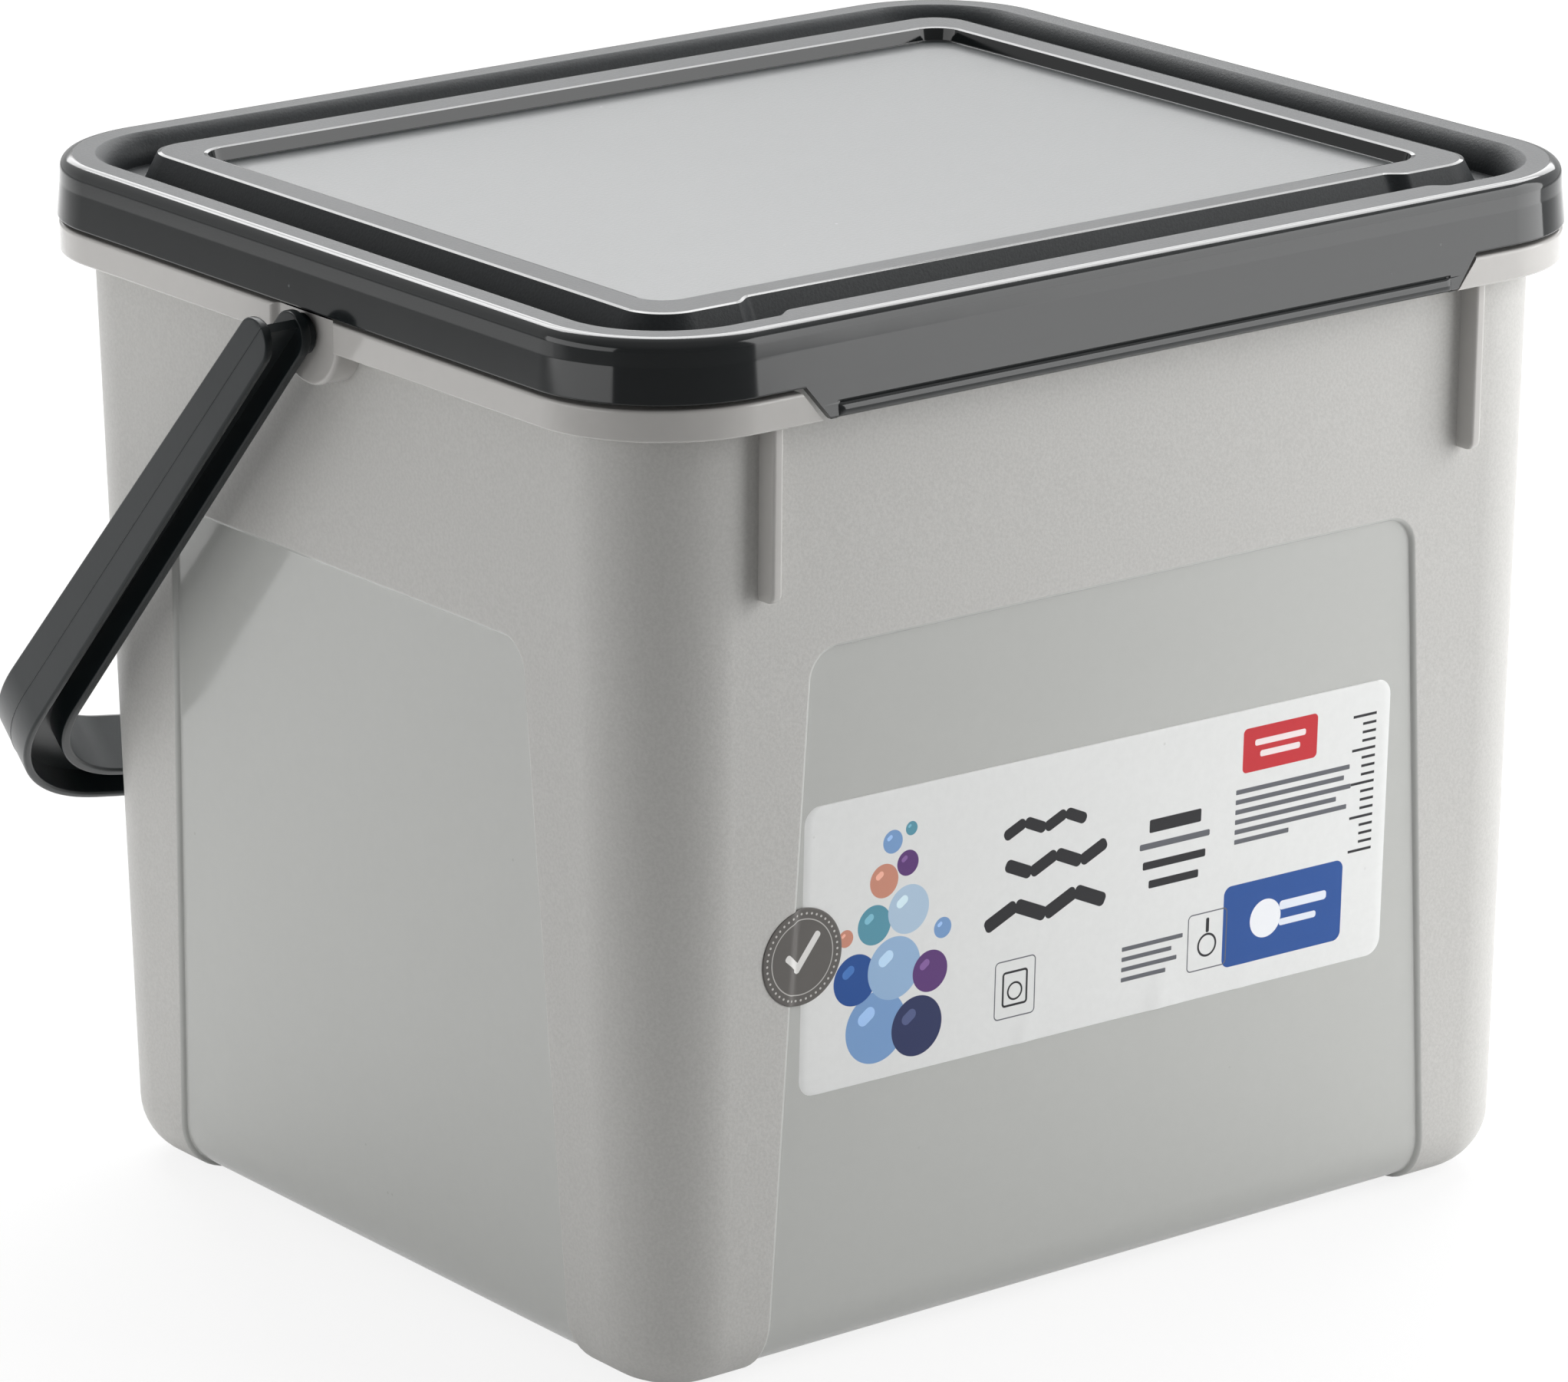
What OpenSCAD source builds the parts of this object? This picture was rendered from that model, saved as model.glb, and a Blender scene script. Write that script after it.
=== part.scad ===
// Laundry powder container: an injection-moulded rectangular bucket with a
// press-on lid, a bail handle on two side pivots, a front label and a round
// seal sticker.
//
// Units are millimetres, +Z is up and the origin is the middle of the base.
// The front, with the grip tab and the label, faces -Y. The handle hangs
// behind the container, at +Y.
//
// Wall, collar and lid share the four corner centres (mid_x, mid_y). Each of
// them is one section, drawn as distance out from that rectangle against
// height, and carried round it: straight along the sides and turned through
// the corners. The draft of the wall therefore widens the corners as it rises.

/* [Bucket] */
// Width across the base
body_w = 188.2; // [170:0.2:220]
// Depth across the base
body_d = 161.2; // [140:0.2:190]
// Height of the bucket to its rim
body_h = 175.4; // [150:0.2:220]
// Radius of the upright corners at the base
corner_r = 14.9; // [13:0.1:22]
// Draft of the walls, in degrees
draft = 1.32; // [0.5:0.02:2.5]
// Thickness of the walls
wall_t = 1.4; // [1:0.1:2]
// Thickness of the floor
floor_t = 2.2; // [1.8:0.1:4]
// Radius of the rounded bottom edge
base_r = 11; // [4:0.5:12]
// Distance of the stiffening groove under the base from the corner centres
foot_w = 8; // [4:0.5:20]
// Width of the stiffening groove
foot_groove_w = 6; // [2:0.5:12]
// Depth of the stiffening groove
foot_groove_depth = 0.8; // [0.2:0.1:1]
// How far the rim bead stands out of the wall
bead_out = 1.1; // [0.5:0.1:1.3]
// Height of the rim bead
bead_h = 2.8; // [2.2:0.1:3.6]

/* [Recessed panels] */
// Depth of the four recessed panels
panel_depth = 0.8; // [0.3:0.1:1.2]
// Height of the panels' upper edge
panel_top = 123.8; // [110:0.2:130]
// Width of the front and back panels at the base
panel_front_w = 142; // [120:0.2:150]
// Width of the front and back panels at their upper edge
panel_front_top_w = 126.8; // [120:0.2:140]
// Width of the side panels at the base
panel_side_w = 114.2; // [95:0.2:120]
// Width of the side panels at their upper edge
panel_side_top_w = 100.8; // [90:0.2:110]
// Radius of the panels' upper corners
panel_r = 9; // [3:0.5:20]

/* [Collar] */
// How far the collar stands out of the wall
collar_out = 5.9; // [5:0.1:8]
// Height of the collar's band
collar_h = 5.2; // [4:0.1:8]
// Thickness of the collar's plate and band
collar_t = 1.3; // [1:0.1:2]
// Distance from the collar's upper face to the rim
rim_above = 6.6; // [6:0.1:10]
// Bevel along the band's lower edge
collar_bevel = 0.4; // [0.1:0.1:0.6]

/* [Fins] */
// Thickness of the fins under the collar
fin_t = 2; // [1:0.1:3]
// How far the fins stand out of the wall
fin_out = 3.9; // [2:0.1:4.2]
// How far the fins reach down below the collar
fin_drop = 29.2; // [15:0.2:40]
// Distance of the fins beside the opening for the grip tab
fin_aside = 7; // [6:0.1:9]

/* [Handle pivots] */
// Distance from the collar's upper face down to the pivot axis
pivot_drop = 3.5; // [3:0.1:4.5]
// Radius of the round lug
lug_r = 8.8; // [8.4:0.1:12]
// How far the lug's face lies behind the collar's face
lug_inset = 1.1; // [0.6:0.1:1.2]
// Width of the notch in the collar's band
notch_w = 15; // [13:0.2:15.4]
// Slant of the notch's ends
notch_bevel = 1.5; // [0.2:0.1:2.4]
// Radius of the handle's pivot pins
pin_r = 2.6; // [2:0.1:3.2]
// Radial clearance of the pins in their holes
pin_gap = 0.05; // [0.02:0.01:0.1]
// Depth of the pin holes
hole_depth = 4.2; // [3:0.1:4.4]

/* [Lid] */
// Height of the lid's top above the bucket's rim
lid_rise = 4.6; // [4:0.1:6]
// Thickness of the lid
lid_t = 1.6; // [1.2:0.1:2]
// How far the skirt's lower edge stands out past the collar
skirt_proud = 0.3; // [0.1:0.1:1]
// Gap between the skirt's lower edge and the collar
skirt_gap = 0.8; // [0.3:0.1:1.5]
// Slope of the skirt, in degrees
skirt_slope = 5.5; // [1:0.1:8]
// Radius of the lid's upper outer edge
edge_r = 2.8; // [1.5:0.1:3.5]
// Width from the skirt's lower edge to the groove
rim_w = 6.7; // [6:0.1:8]
// Width of the groove at the top
groove_w = 10.7; // [9:0.1:12]
// Depth of the groove
groove_depth = 5.2; // [4.5:0.1:6]
// How far the groove's curved outer side runs in
groove_outer_run = 2.9; // [2:0.1:3.5]
// How far the groove's sloped inner side runs out
groove_inner_run = 2.7; // [1:0.1:4]
// How far the groove is set back at the grip tab
step_back = 2.2; // [1:0.1:3]
// Length of the slants at both ends of the set-back
step_run = 3.2; // [2:0.1:5]
// Clearance between the lid's plug and the bucket's wall
plug_gap = 0.35; // [0.3:0.05:0.6]
// Height of the lid's shoulder above the bucket's rim
seat_gap = 0.3; // [0.2:0.05:0.5]
// Clearance between the rim bead and the ring around it
ring_gap = 0.3; // [0.3:0.05:0.6]
// Thickness of the ring around the rim bead
ring_t = 1.2; // [0.8:0.1:1.4]
// How far that ring reaches down below the bucket's rim
ring_drop = 4; // [2:0.2:5]

/* [Lid panel] */
// Width of the sunk panel in the middle of the lid
top_panel_w = 160; // [120:1:162]
// Depth, front to back, of that panel
top_panel_d = 130; // [100:1:134]
// How far the panel is sunk
top_panel_sink = 2.4; // [1:0.1:3]
// Radius of the panel's corners
top_panel_r = 4.5; // [2:0.5:10]
// Bevel along the panel's edge
top_panel_bevel = 0.5; // [0.2:0.1:1]

/* [Grip tab] */
// Width of the grip tab at its lower edge
tab_w = 130.8; // [80:0.2:136]
// How far the tab hangs down below the skirt
tab_drop = 5.7; // [4:0.1:7]
// How much wider each side is at the skirt
tab_flare = 4.6; // [2:0.1:6]
// Gap between the tab and the ends of the collar
tab_gap = 1.3; // [0.8:0.1:2.5]
// Radius of the bead along the tab's lower edge
tab_bead_r = 1.3; // [1:0.1:1.6]
// How far the bead stands out of the tab
tab_bead_out = 0.45; // [0.2:0.05:0.8]
// Distance from the tab's corners to the ends of the bead
tab_bead_in = 2.4; // [1.5:0.1:8]
// Radius of the line pressed in above the bead
tab_line_r = 0.45; // [0.2:0.05:0.6]

/* [Handle] */
// Clearance between the lid and the handle's arms
handle_gap = 0.5; // [0.5:0.1:2]
// Depth of the handle's section, measured across the container
handle_t = 8.9; // [7:0.1:12]
// Width of the arms at the pivots
handle_w_pivot = 8.4; // [7:0.1:12]
// Width of the handle at the crossbar
handle_w_bar = 11.9; // [9:0.1:16]
// Thickness of the handle's outer flange
flange_out_t = 1.5; // [1:0.1:2.5]
// Thickness of the handle's inner flange
flange_in_t = 1.8; // [1:0.1:2.5]
// Thickness of the web between the flanges
web_t = 1.6; // [1:0.1:2.5]
// Distance from the pivot axis back to the end of the web
web_back = 3.6; // [2.6:0.1:4]
// Straight length of the arms past the edge of the lid
handle_clear = 15.6; // [14:0.2:40]
// Outer radius of the handle's bends
bend_r = 35.5; // [20:0.5:60]
// Slope at which the bends meet the bowed crossbar, in degrees
bow = 16.6; // [8:0.2:25]
// Radius of the boss around each pin
boss_r = 3.4; // [3.3:0.1:6]
// Clearance between boss and lug, and behind the pin's end
boss_gap = 0.3; // [0.2:0.05:0.6]
// Angle of the hanging handle below the horizontal, in degrees
hang = 46.5; // [20:0.1:50]

/* [Label and seal] */
// Width of the label
label_w = 124.9; // [80:0.1:126]
// Height of the label
label_h = 49.4; // [30:0.1:60]
// Height of the label's middle above the base
label_z = 71.9; // [50:0.1:85]
// Distance of the label's middle from the middle of the front
label_x = -2.1; // [-3:0.1:3]
// Tilt of the label, in degrees
label_tilt = 0.75; // [0:0.05:2]
// Radius of the label's corners
label_r = 3; // [1:0.5:8]
// Thickness of the label
label_t = 0.15; // [0.1:0.01:0.3]
// Radius of the round seal
seal_r = 8.25; // [5:0.05:12]
// Height of the seal's centre above the base
seal_z = 72.5; // [60:0.1:85]
// Distance of the seal's centre outside the label's edge
seal_x = 0.3; // [-2:0.1:3]
// Thickness of the seal
seal_t = 0.15; // [0.1:0.01:0.3]

/* [Hidden] */
$fn = 96;

grey = [0.74, 0.73, 0.72];
anthracite = [0.25, 0.26, 0.27];
paper = [0.96, 0.96, 0.95];
seal_grey = [0.45, 0.44, 0.42];

arc_steps = 9;   // runs in each arc of a section
far = 40;        // reach of cutting solids past what they cut
bite = 0.4;      // overlap of joined solids
lap = 0.1;       // overlap of the runs of a groove
k = tan(draft);  // outward run of the wall per millimetre of height
mid_x = body_w / 2 - corner_r;
mid_y = body_d / 2 - corner_r;

collar_top = body_h - rim_above;
collar_z = collar_top - collar_h;
collar_face = wall_at(collar_z) + collar_out;
pivot_z = collar_top - pivot_drop;
lug_face = collar_face - lug_inset;

lid_top = body_h + lid_rise;
skirt_z = collar_top + skirt_gap;
skirt_edge = collar_face + skirt_proud;
skirt_k = tan(skirt_slope);
groove_edge = skirt_edge - rim_w;
plateau_edge = groove_edge - groove_w;
step_half = tab_half(skirt_z);

base_c = inset_at(base_r, base_r);  // distance out to the base fillet's centre
panel_grow = wall_t;

handle_in = mid_x + skirt_edge + handle_gap;
handle_out = handle_in + handle_t;
arm = mid_y + skirt_edge + handle_clear;
bar_r = (handle_out - bend_r * (1 - sin(bow))) / sin(bow);
bar_c = arm + bend_r * cos(bow) - bar_r * cos(bow);

// Distance of the outer wall from the corner rectangle at height z, and the
// same for a surface that lies inset by d, square to the wall.
function wall_at(z) = corner_r + k * z;
function inset_at(z, d) = wall_at(z) - d * sqrt(1 + k * k);

// Distance of the lid's skirt and grip tab at height z.
function skirt_at(z) = skirt_edge - skirt_k * (z - skirt_z);

// Half the width of the grip tab at height z.
function tab_half(z) = tab_w / 2 + tab_flare * (z - skirt_z + tab_drop) / tab_drop;

// Half the width of a recessed panel at height z.
function panel_half(w, top_w, z) = (w - (w - top_w) * z / panel_top) / 2;

// Points of an arc about c, from angle a0 to angle a1.
function arc(c, r, a0, a1) =
    [for (i = [0 : arc_steps]) let (a = a0 + (a1 - a0) * i / arc_steps) c + r * [cos(a), sin(a)]];

// Corner points of a rectangle with its corners rounded by r.
function round_corners(w, h, r) = [
    for (q = [0 : 3])
        let (sx = [1, -1, -1, 1][q], sy = [1, 1, -1, -1][q])
            each arc([sx * (w / 2 - r), sy * (h / 2 - r)], r, 90 * q, 90 * q + 90)
];

// The part of a disc of radius r between angles a0 and a1, under 120 degrees.
module sector(r, a0, a1) {
    reach = 2.5 * r;
    middle = (a0 + a1) / 2;
    intersection() {
        circle(r);
        polygon([[0, 0], for (a = [a0, middle, a1]) reach * [cos(a), sin(a)]]);
    }
}

// Carries a section round the corner rectangle with half sizes hx and hy. The
// section's x is the distance out from the rectangle and its y the height.
module around(hx = mid_x, hy = mid_y, sides = [0 : 3]) {
    for (i = [0 : 3]) {
        along = i % 2 == 0 ? hx : hy;
        across = i % 2 == 0 ? hy : hx;
        rotate([0, 0, 90 * i]) {
            translate([along, across, 0]) rotate_extrude(angle = 90) children();
            if (len([for (s = sides) if (s == i) s]) > 0)
                straight(-along, along, across) children();
        }
    }
}

// Carries a section along X from x0 to x1, at distance y from the middle.
module straight(x0, x1, y) {
    translate([x0, y, 0]) rotate([90, 0, 90]) linear_extrude(x1 - x0) children();
}

// Carries an outline in X and height through the wall at distance y.
module through(y) {
    translate([0, y + far, 0]) rotate([90, 0, 0]) linear_extrude(2 * far) children();
}

module on_both_sides() {
    children();
    mirror([1, 0, 0]) children();
}

module on_front() { mirror([0, 1, 0]) children(); }

module on_front_and_back() {
    children();
    on_front() children();
}

// Section of everything inside the wall's surface moved in by d, up to height
// top: the drafted wall with the rounded bottom edge.
module wall_fill(d, top) {
    polygon([
        [0, d], each arc([base_c, base_r], base_r - d, -90, -draft),
        [inset_at(top, d), top], [0, top],
    ]);
}

// Section of the collar: a plate with a band hanging from its edge.
module collar_section() {
    root = inset_at(collar_top, wall_t / 2);
    polygon([
        [root, collar_top], [collar_face, collar_top],
        [collar_face, collar_z + collar_bevel], [collar_face - collar_bevel, collar_z],
        [collar_face - collar_t, collar_z], [collar_face - collar_t, collar_top - collar_t],
        [root, collar_top - collar_t],
    ]);
}

// Section of the bead along the rim.
module bead_section() {
    root = inset_at(body_h, wall_t / 2);
    out = wall_at(body_h) + bead_out;
    bevel = bead_h / 6;
    polygon([
        [root, body_h - bead_h], [wall_at(body_h), body_h - bead_h],
        [out, body_h - bead_h + bead_out], [out, body_h - bevel],
        [out - bevel, body_h], [root, body_h],
    ]);
}

// Outline of a recessed panel, grown by g at its sides and top.
module panel_outline(w, top_w, g) {
    lean = atan((w - top_w) / 2 / panel_top);
    r = panel_r + g;
    cz = panel_top + g - r;
    side = g / cos(lean);
    cx = panel_half(w, top_w, cz) + side - r / cos(lean);
    low = panel_half(w, top_w, -far) + side;
    polygon([
        [-low, -far], [low, -far],
        each arc([cx, cz], r, lean, 90), each arc([-cx, cz], r, 90, 180 - lean),
    ]);
}

// Everything outside the wall's surface moved in by d, within a panel's outline.
module panel_cut(w, top_w, y, d, g) {
    intersection() {
        straight(-w / 2 - far, w / 2 + far, y) difference() {
            translate([base_c, -bite]) square([far, panel_top + far]);
            wall_fill(d, panel_top + 2 * far);
        }
        through(y + far / 2) panel_outline(w, top_w, g);
    }
}

// The four recessed panels, d deep and grown by g.
module panel_cuts(d, g) {
    on_front_and_back() panel_cut(panel_front_w, panel_front_top_w, mid_y, d, g);
    for (s = [-1, 1]) rotate([0, 0, s * 90])
        panel_cut(panel_side_w, panel_side_top_w, mid_x, d, g);
}

// A block with rounded upright edges, half sizes hx and hy, from z0 to z1.
module rounded_block(hx, hy, r, z0, z1) {
    translate([0, 0, z0]) linear_extrude(z1 - z0)
        polygon(round_corners(2 * hx, 2 * hy, r));
}

// Inside of the bucket: the wall's inner surface, bulged in behind the panels.
module cavity() {
    difference() {
        union() {
            around() difference() {
                wall_fill(wall_t, body_h + far);
                translate([-bite, -bite]) square([far, floor_t + bite]);
            }
            translate([-mid_x - bite, -mid_y - bite, floor_t])
                cube([2 * (mid_x + bite), 2 * (mid_y + bite), body_h + far]);
        }
        panel_cuts(panel_depth + wall_t, panel_grow);
    }
}

// A fin from the wall up to the collar's plate.
module fin() {
    z0 = collar_z - fin_drop;
    z1 = collar_top - collar_t / 2;
    x = tab_half(collar_z) + tab_gap + fin_aside;
    straight(x - fin_t / 2, x + fin_t / 2, mid_y) polygon([
        [inset_at(z0, wall_t / 2), z0], [wall_at(z0) + fin_out - fin_t / 2, z0],
        [wall_at(z0) + fin_out, z0 + fin_t / 2], [wall_at(z1) + fin_out, z1],
        [inset_at(z1, wall_t / 2), z1],
    ]);
}

// A round lug on the right side, cut off level with the collar's top.
module lug() {
    root = mid_x + inset_at(pivot_z, wall_t / 2);
    intersection() {
        translate([root, 0, pivot_z]) rotate([0, 90, 0])
            cylinder(h = mid_x + lug_face - root, r = lug_r);
        translate([root - far, -far, pivot_z - far])
            cube([2 * far, 2 * far, far + pivot_drop]);
    }
}

// The stiffening groove round the underside of the floor.
module foot_groove() {
    hx = mid_x - foot_w;
    hy = mid_y - foot_w;
    w = foot_groove_w;
    difference() {
        rounded_block(hx, hy, base_r + w, -bite, foot_groove_depth);
        rounded_block(hx - w, hy - w, base_r, -2 * bite, 2 * foot_groove_depth);
    }
}

// The notch in the collar's band that the handle's boss stands in.
module notch() {
    slope = notch_bevel / lug_inset;
    translate([mid_x, 0, collar_z - far]) linear_extrude(2 * far) polygon([
        [lug_face, -notch_w / 2], [lug_face + far, -notch_w / 2 - slope * far],
        [lug_face + far, notch_w / 2 + slope * far], [lug_face, notch_w / 2],
    ]);
}

module pin_hole() {
    translate([mid_x + lug_face - hole_depth, 0, pivot_z]) rotate([0, 90, 0])
        cylinder(h = hole_depth + far, r = pin_r + pin_gap);
}

// The opening in the collar that the grip tab hangs in, from the wall outward.
module tab_opening() {
    z0 = collar_z - bite;
    z1 = collar_top + bite;
    intersection() {
        on_front() through(mid_y + far) polygon([
            for (z = [z0, z1]) [-tab_half(z) - tab_gap, z],
            for (z = [z1, z0]) [tab_half(z) + tab_gap, z],
        ]);
        on_front() straight(-body_w, body_w, mid_y) polygon([
            [wall_at(z0), z0], [far, z0], [far, z1], [wall_at(z1), z1],
        ]);
    }
}

module bucket() {
    color(grey) difference() {
        union() {
            difference() {
                union() {
                    around() {
                        wall_fill(0, body_h);
                        collar_section();
                        bead_section();
                    }
                    translate([-mid_x - bite, -mid_y - bite, 0])
                        cube([2 * (mid_x + bite), 2 * (mid_y + bite), floor_t + bite]);
                    on_front_and_back() on_both_sides() fin();
                }
                panel_cuts(panel_depth, 0);
                cavity();
                foot_groove();
                tab_opening();
                on_both_sides() notch();
            }
            on_both_sides() lug();
        }
        on_both_sides() pin_hole();
    }
}

// Section of the lid before its groove is cut: skirt, rim, the ring around
// the bucket's bead, the shoulder on its rim and the plug inside its wall.
module lid_section() {
    cosk = cos(skirt_slope);
    edge_z = lid_top - edge_r;
    edge_c = skirt_at(edge_z) - edge_r / cosk;
    ring_in = wall_at(body_h) + bead_out + ring_gap;
    shoulder = body_h + seat_gap;
    plug = inset_at(body_h - ring_drop, wall_t) - plug_gap;
    trough = lid_top - groove_depth - lid_t;
    under = lid_top - lid_t;
    slant = groove_inner_run / groove_depth;
    back = plateau_edge - lid_t * sqrt(1 + slant * slant);
    polygon([
        [0, lid_top], each arc([edge_c, edge_z], edge_r, 90, skirt_slope),
        [skirt_edge, skirt_z], [skirt_edge - lid_t / cosk, skirt_z],
        [skirt_at(under) - lid_t / cosk, under],
        [ring_in + ring_t, under], [ring_in + ring_t, body_h - ring_drop],
        [ring_in, body_h - ring_drop], [ring_in, shoulder], [plug, shoulder],
        [plug, trough], [back + slant * (lid_top - trough), trough],
        [back + slant * (lid_top - under), under], [0, under],
    ]);
}

// Section of the groove, squeezed by q for a run at a slant: a floor, a sloped
// side towards the middle and a curved side that rolls over into the rim.
function groove_points(q = 1) =
    let (
        turn = 60,
        r = groove_outer_run / (1 - cos(turn)),
        rise = r * sin(turn),
        c = groove_edge - groove_outer_run + r,
        side = arc([c, lid_top - rise], r, 180, 180 - turn),
        past_rim = 2 * side[arc_steps] - side[arc_steps - 1]
    )
    [
        for (p = [
            [plateau_edge - groove_inner_run * bite / groove_depth, lid_top + bite],
            [plateau_edge + groove_inner_run, lid_top - groove_depth],
            [c - r, lid_top - groove_depth],
            for (i = [0 : arc_steps - 1]) side[i],
            past_rim
        ]) [q * p[0], p[1]]
    ];

// A run of the groove from [x0, y0] to [x1, y1], cut off square to X just past
// both ends.
module slanted_run(x0, y0, x1, y1) {
    a = atan2(y1 - y0, x1 - x0);
    intersection() {
        translate([x0, y0, 0]) rotate([0, 0, a]) rotate([90, 0, 90])
            translate([0, 0, -far]) linear_extrude(2 * far) polygon(groove_points(cos(a)));
        translate([x0 - lap, y0 - far, lid_top - far])
            cube([x1 - x0 + 2 * lap, 2 * far, 2 * far]);
    }
}

// The groove round the lid's plateau. Its front run is set back at the tab, and
// all runs of the front lap into the next one.
module groove() {
    inner = step_half - step_run;
    around(sides = [0, 1, 3]) polygon(groove_points());
    on_front() {
        on_both_sides() {
            straight(step_half - lap, mid_x, mid_y) polygon(groove_points());
            slanted_run(inner, mid_y - step_back, step_half, mid_y);
        }
        straight(-inner - lap, inner + lap, mid_y - step_back) polygon(groove_points());
    }
}

// Backs the set-back run of the groove from below.
module step_backing() {
    slant = groove_inner_run / groove_depth;
    out = plateau_edge + groove_inner_run + lid_t;
    trough = lid_top - groove_depth - lid_t;
    on_front() straight(-step_half, step_half, mid_y) polygon([
        [out, trough], [out, lid_top - lid_t / 2],
        [plateau_edge - step_back - lid_t, lid_top - lid_t / 2],
        [plateau_edge - step_back - lid_t + slant * groove_depth, trough],
    ]);
}

// The tab that hangs from the middle of the skirt, with a beaded lower edge.
module grip_tab() {
    low = skirt_z - tab_drop;
    thick = lid_t / cos(skirt_slope);
    bead_half = tab_w / 2 - tab_bead_in;
    bead_z = low + tab_bead_r - bite / 4;
    line_z = bead_z + tab_bead_r + tab_line_r;
    on_front() difference() {
        union() {
            intersection() {
                straight(-body_w, body_w, mid_y) polygon([
                    [skirt_at(low) - thick, low], [skirt_at(low), low],
                    [skirt_edge, skirt_z], [skirt_edge - thick, skirt_z],
                ]);
                through(mid_y + skirt_edge) polygon([
                    [-tab_half(low - bite), low - bite], [tab_half(low - bite), low - bite],
                    [tab_half(skirt_z + bite), skirt_z + bite],
                    [-tab_half(skirt_z + bite), skirt_z + bite],
                ]);
            }
            translate([0, mid_y + skirt_at(bead_z) + tab_bead_out - tab_bead_r, bead_z]) {
                rotate([0, 90, 0]) cylinder(h = 2 * bead_half, r = tab_bead_r, center = true);
                for (s = [-1, 1]) translate([s * bead_half, 0, 0]) sphere(tab_bead_r);
            }
        }
        translate([0, mid_y + skirt_at(line_z) + tab_line_r / 2, line_z])
            rotate([0, 90, 0]) cylinder(h = 2 * bead_half, r = tab_line_r, center = true);
    }
}

// The sunk panel: a thin pan that hangs in the middle of the plateau.
module pan() {
    rounded_block(
        top_panel_w / 2 + lid_t, top_panel_d / 2 + lid_t, top_panel_r + lid_t,
        lid_top - top_panel_sink - lid_t, lid_top - lid_t / 2
    );
}

// What is cut out of the pan from above, with a bevel along its edge.
module pan_cut() {
    hx = top_panel_w / 2 - top_panel_r;
    hy = top_panel_d / 2 - top_panel_r;
    low = lid_top - top_panel_sink;
    around(hx, hy) polygon([
        [0, low], [top_panel_r, low], [top_panel_r, lid_top - top_panel_bevel],
        [top_panel_r + top_panel_bevel + bite, lid_top + bite], [0, lid_top + bite],
    ]);
    translate([-hx - bite, -hy - bite, low])
        cube([2 * (hx + bite), 2 * (hy + bite), top_panel_sink + bite]);
}

module lid() {
    color(anthracite) difference() {
        union() {
            around() lid_section();
            translate([-mid_x - bite, -mid_y - bite, lid_top - lid_t])
                cube([2 * (mid_x + bite), 2 * (mid_y + bite), lid_t]);
            pan();
            step_backing();
            grip_tab();
        }
        groove();
        pan_cut();
    }
}

// The handle's plan between the distances a and b in from its outer edge: two
// straight arms, two bends and the bowed crossbar.
module handle_band(a, b, tail = handle_w_pivot) {
    for (s = [0, 1]) mirror([s, 0]) {
        translate([handle_out - b, -tail]) square([b - a, tail + arm]);
        translate([handle_out - bend_r, arm]) ring_part(bend_r - b, bend_r - a, 0, 90 - bow);
    }
    translate([0, bar_c]) ring_part(bar_r - b, bar_r - a, 90 - bow, 90 + bow);
}

module ring_part(r_in, r_out, a0, a1) {
    difference() {
        sector(r_out, a0, a1);
        circle(r_in);
    }
}

// The handle seen from its side: round at the pivot and widening towards the
// crossbar.
module handle_side() {
    r = handle_w_pivot / 2;
    full = handle_w_bar / 2;
    reach = arm + bend_r;
    circle(r);
    polygon([[0, -r], [reach, -full], [reach + far, -full], [reach + far, full],
             [reach, full], [0, r]]);
}

// The handle has an H section: two flanges with a web between their middles.
// It is drawn lying flat, with the pivots on the X axis and the bar at +Y.
module handle() {
    inner = handle_t - flange_in_t;
    color(anthracite) translate([0, 0, pivot_z]) rotate([-hang, 0, 0]) {
        intersection() {
            translate([0, 0, -far]) linear_extrude(2 * far) {
                handle_band(0, flange_out_t);
                handle_band(inner, handle_t);
            }
            translate([-handle_out - far, 0, 0]) rotate([90, 0, 90])
                linear_extrude(2 * (handle_out + far)) handle_side();
        }
        translate([0, 0, -web_t / 2]) linear_extrude(web_t)
            handle_band(flange_out_t / 2, inner + flange_in_t / 2, web_back);
        on_both_sides() {
            boss_from = mid_x + lug_face + boss_gap;
            pin_from = mid_x + lug_face - hole_depth + boss_gap;
            translate([boss_from, 0, 0]) rotate([0, 90, 0])
                cylinder(h = handle_in - boss_from + flange_in_t / 2, r = boss_r);
            translate([pin_from, 0, 0]) rotate([0, 90, 0])
                cylinder(h = handle_in - pin_from + flange_in_t / 2, r = pin_r);
        }
    }
}

// A sheet t thick on the front wall's surface moved in by d.
module front_sheet(d, t) {
    z0 = 0;
    z1 = panel_top;
    on_front() straight(-body_w, body_w, mid_y) polygon([
        [inset_at(z0, d), z0], [inset_at(z0, d - t), z0],
        [inset_at(z1, d - t), z1], [inset_at(z1, d), z1],
    ]);
}

module label() {
    color(paper) intersection() {
        front_sheet(panel_depth, label_t);
        on_front() through(mid_y + corner_r) translate([label_x, label_z])
            rotate(label_tilt) polygon(round_corners(label_w, label_h, label_r));
    }
}

// The seal lies on the label and steps up over the edge of the panel.
module round_seal() {
    y = mid_y + corner_r;
    level = panel_depth - label_t;
    color(seal_grey) intersection() {
        on_front() through(y)
            translate([label_x - label_w / 2 - seal_x, seal_z]) circle(seal_r);
        union() {
            intersection() {
                front_sheet(level, seal_t);
                on_front() through(y) panel_outline(panel_front_w, panel_front_top_w, 0);
            }
            difference() {
                front_sheet(0, seal_t);
                on_front() through(y)
                    panel_outline(panel_front_w, panel_front_top_w, -seal_t);
            }
            intersection() {
                front_sheet(level, level + seal_t);
                on_front() through(y) difference() {
                    panel_outline(panel_front_w, panel_front_top_w, 0);
                    panel_outline(panel_front_w, panel_front_top_w, -seal_t);
                }
            }
        }
    }
}

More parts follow.
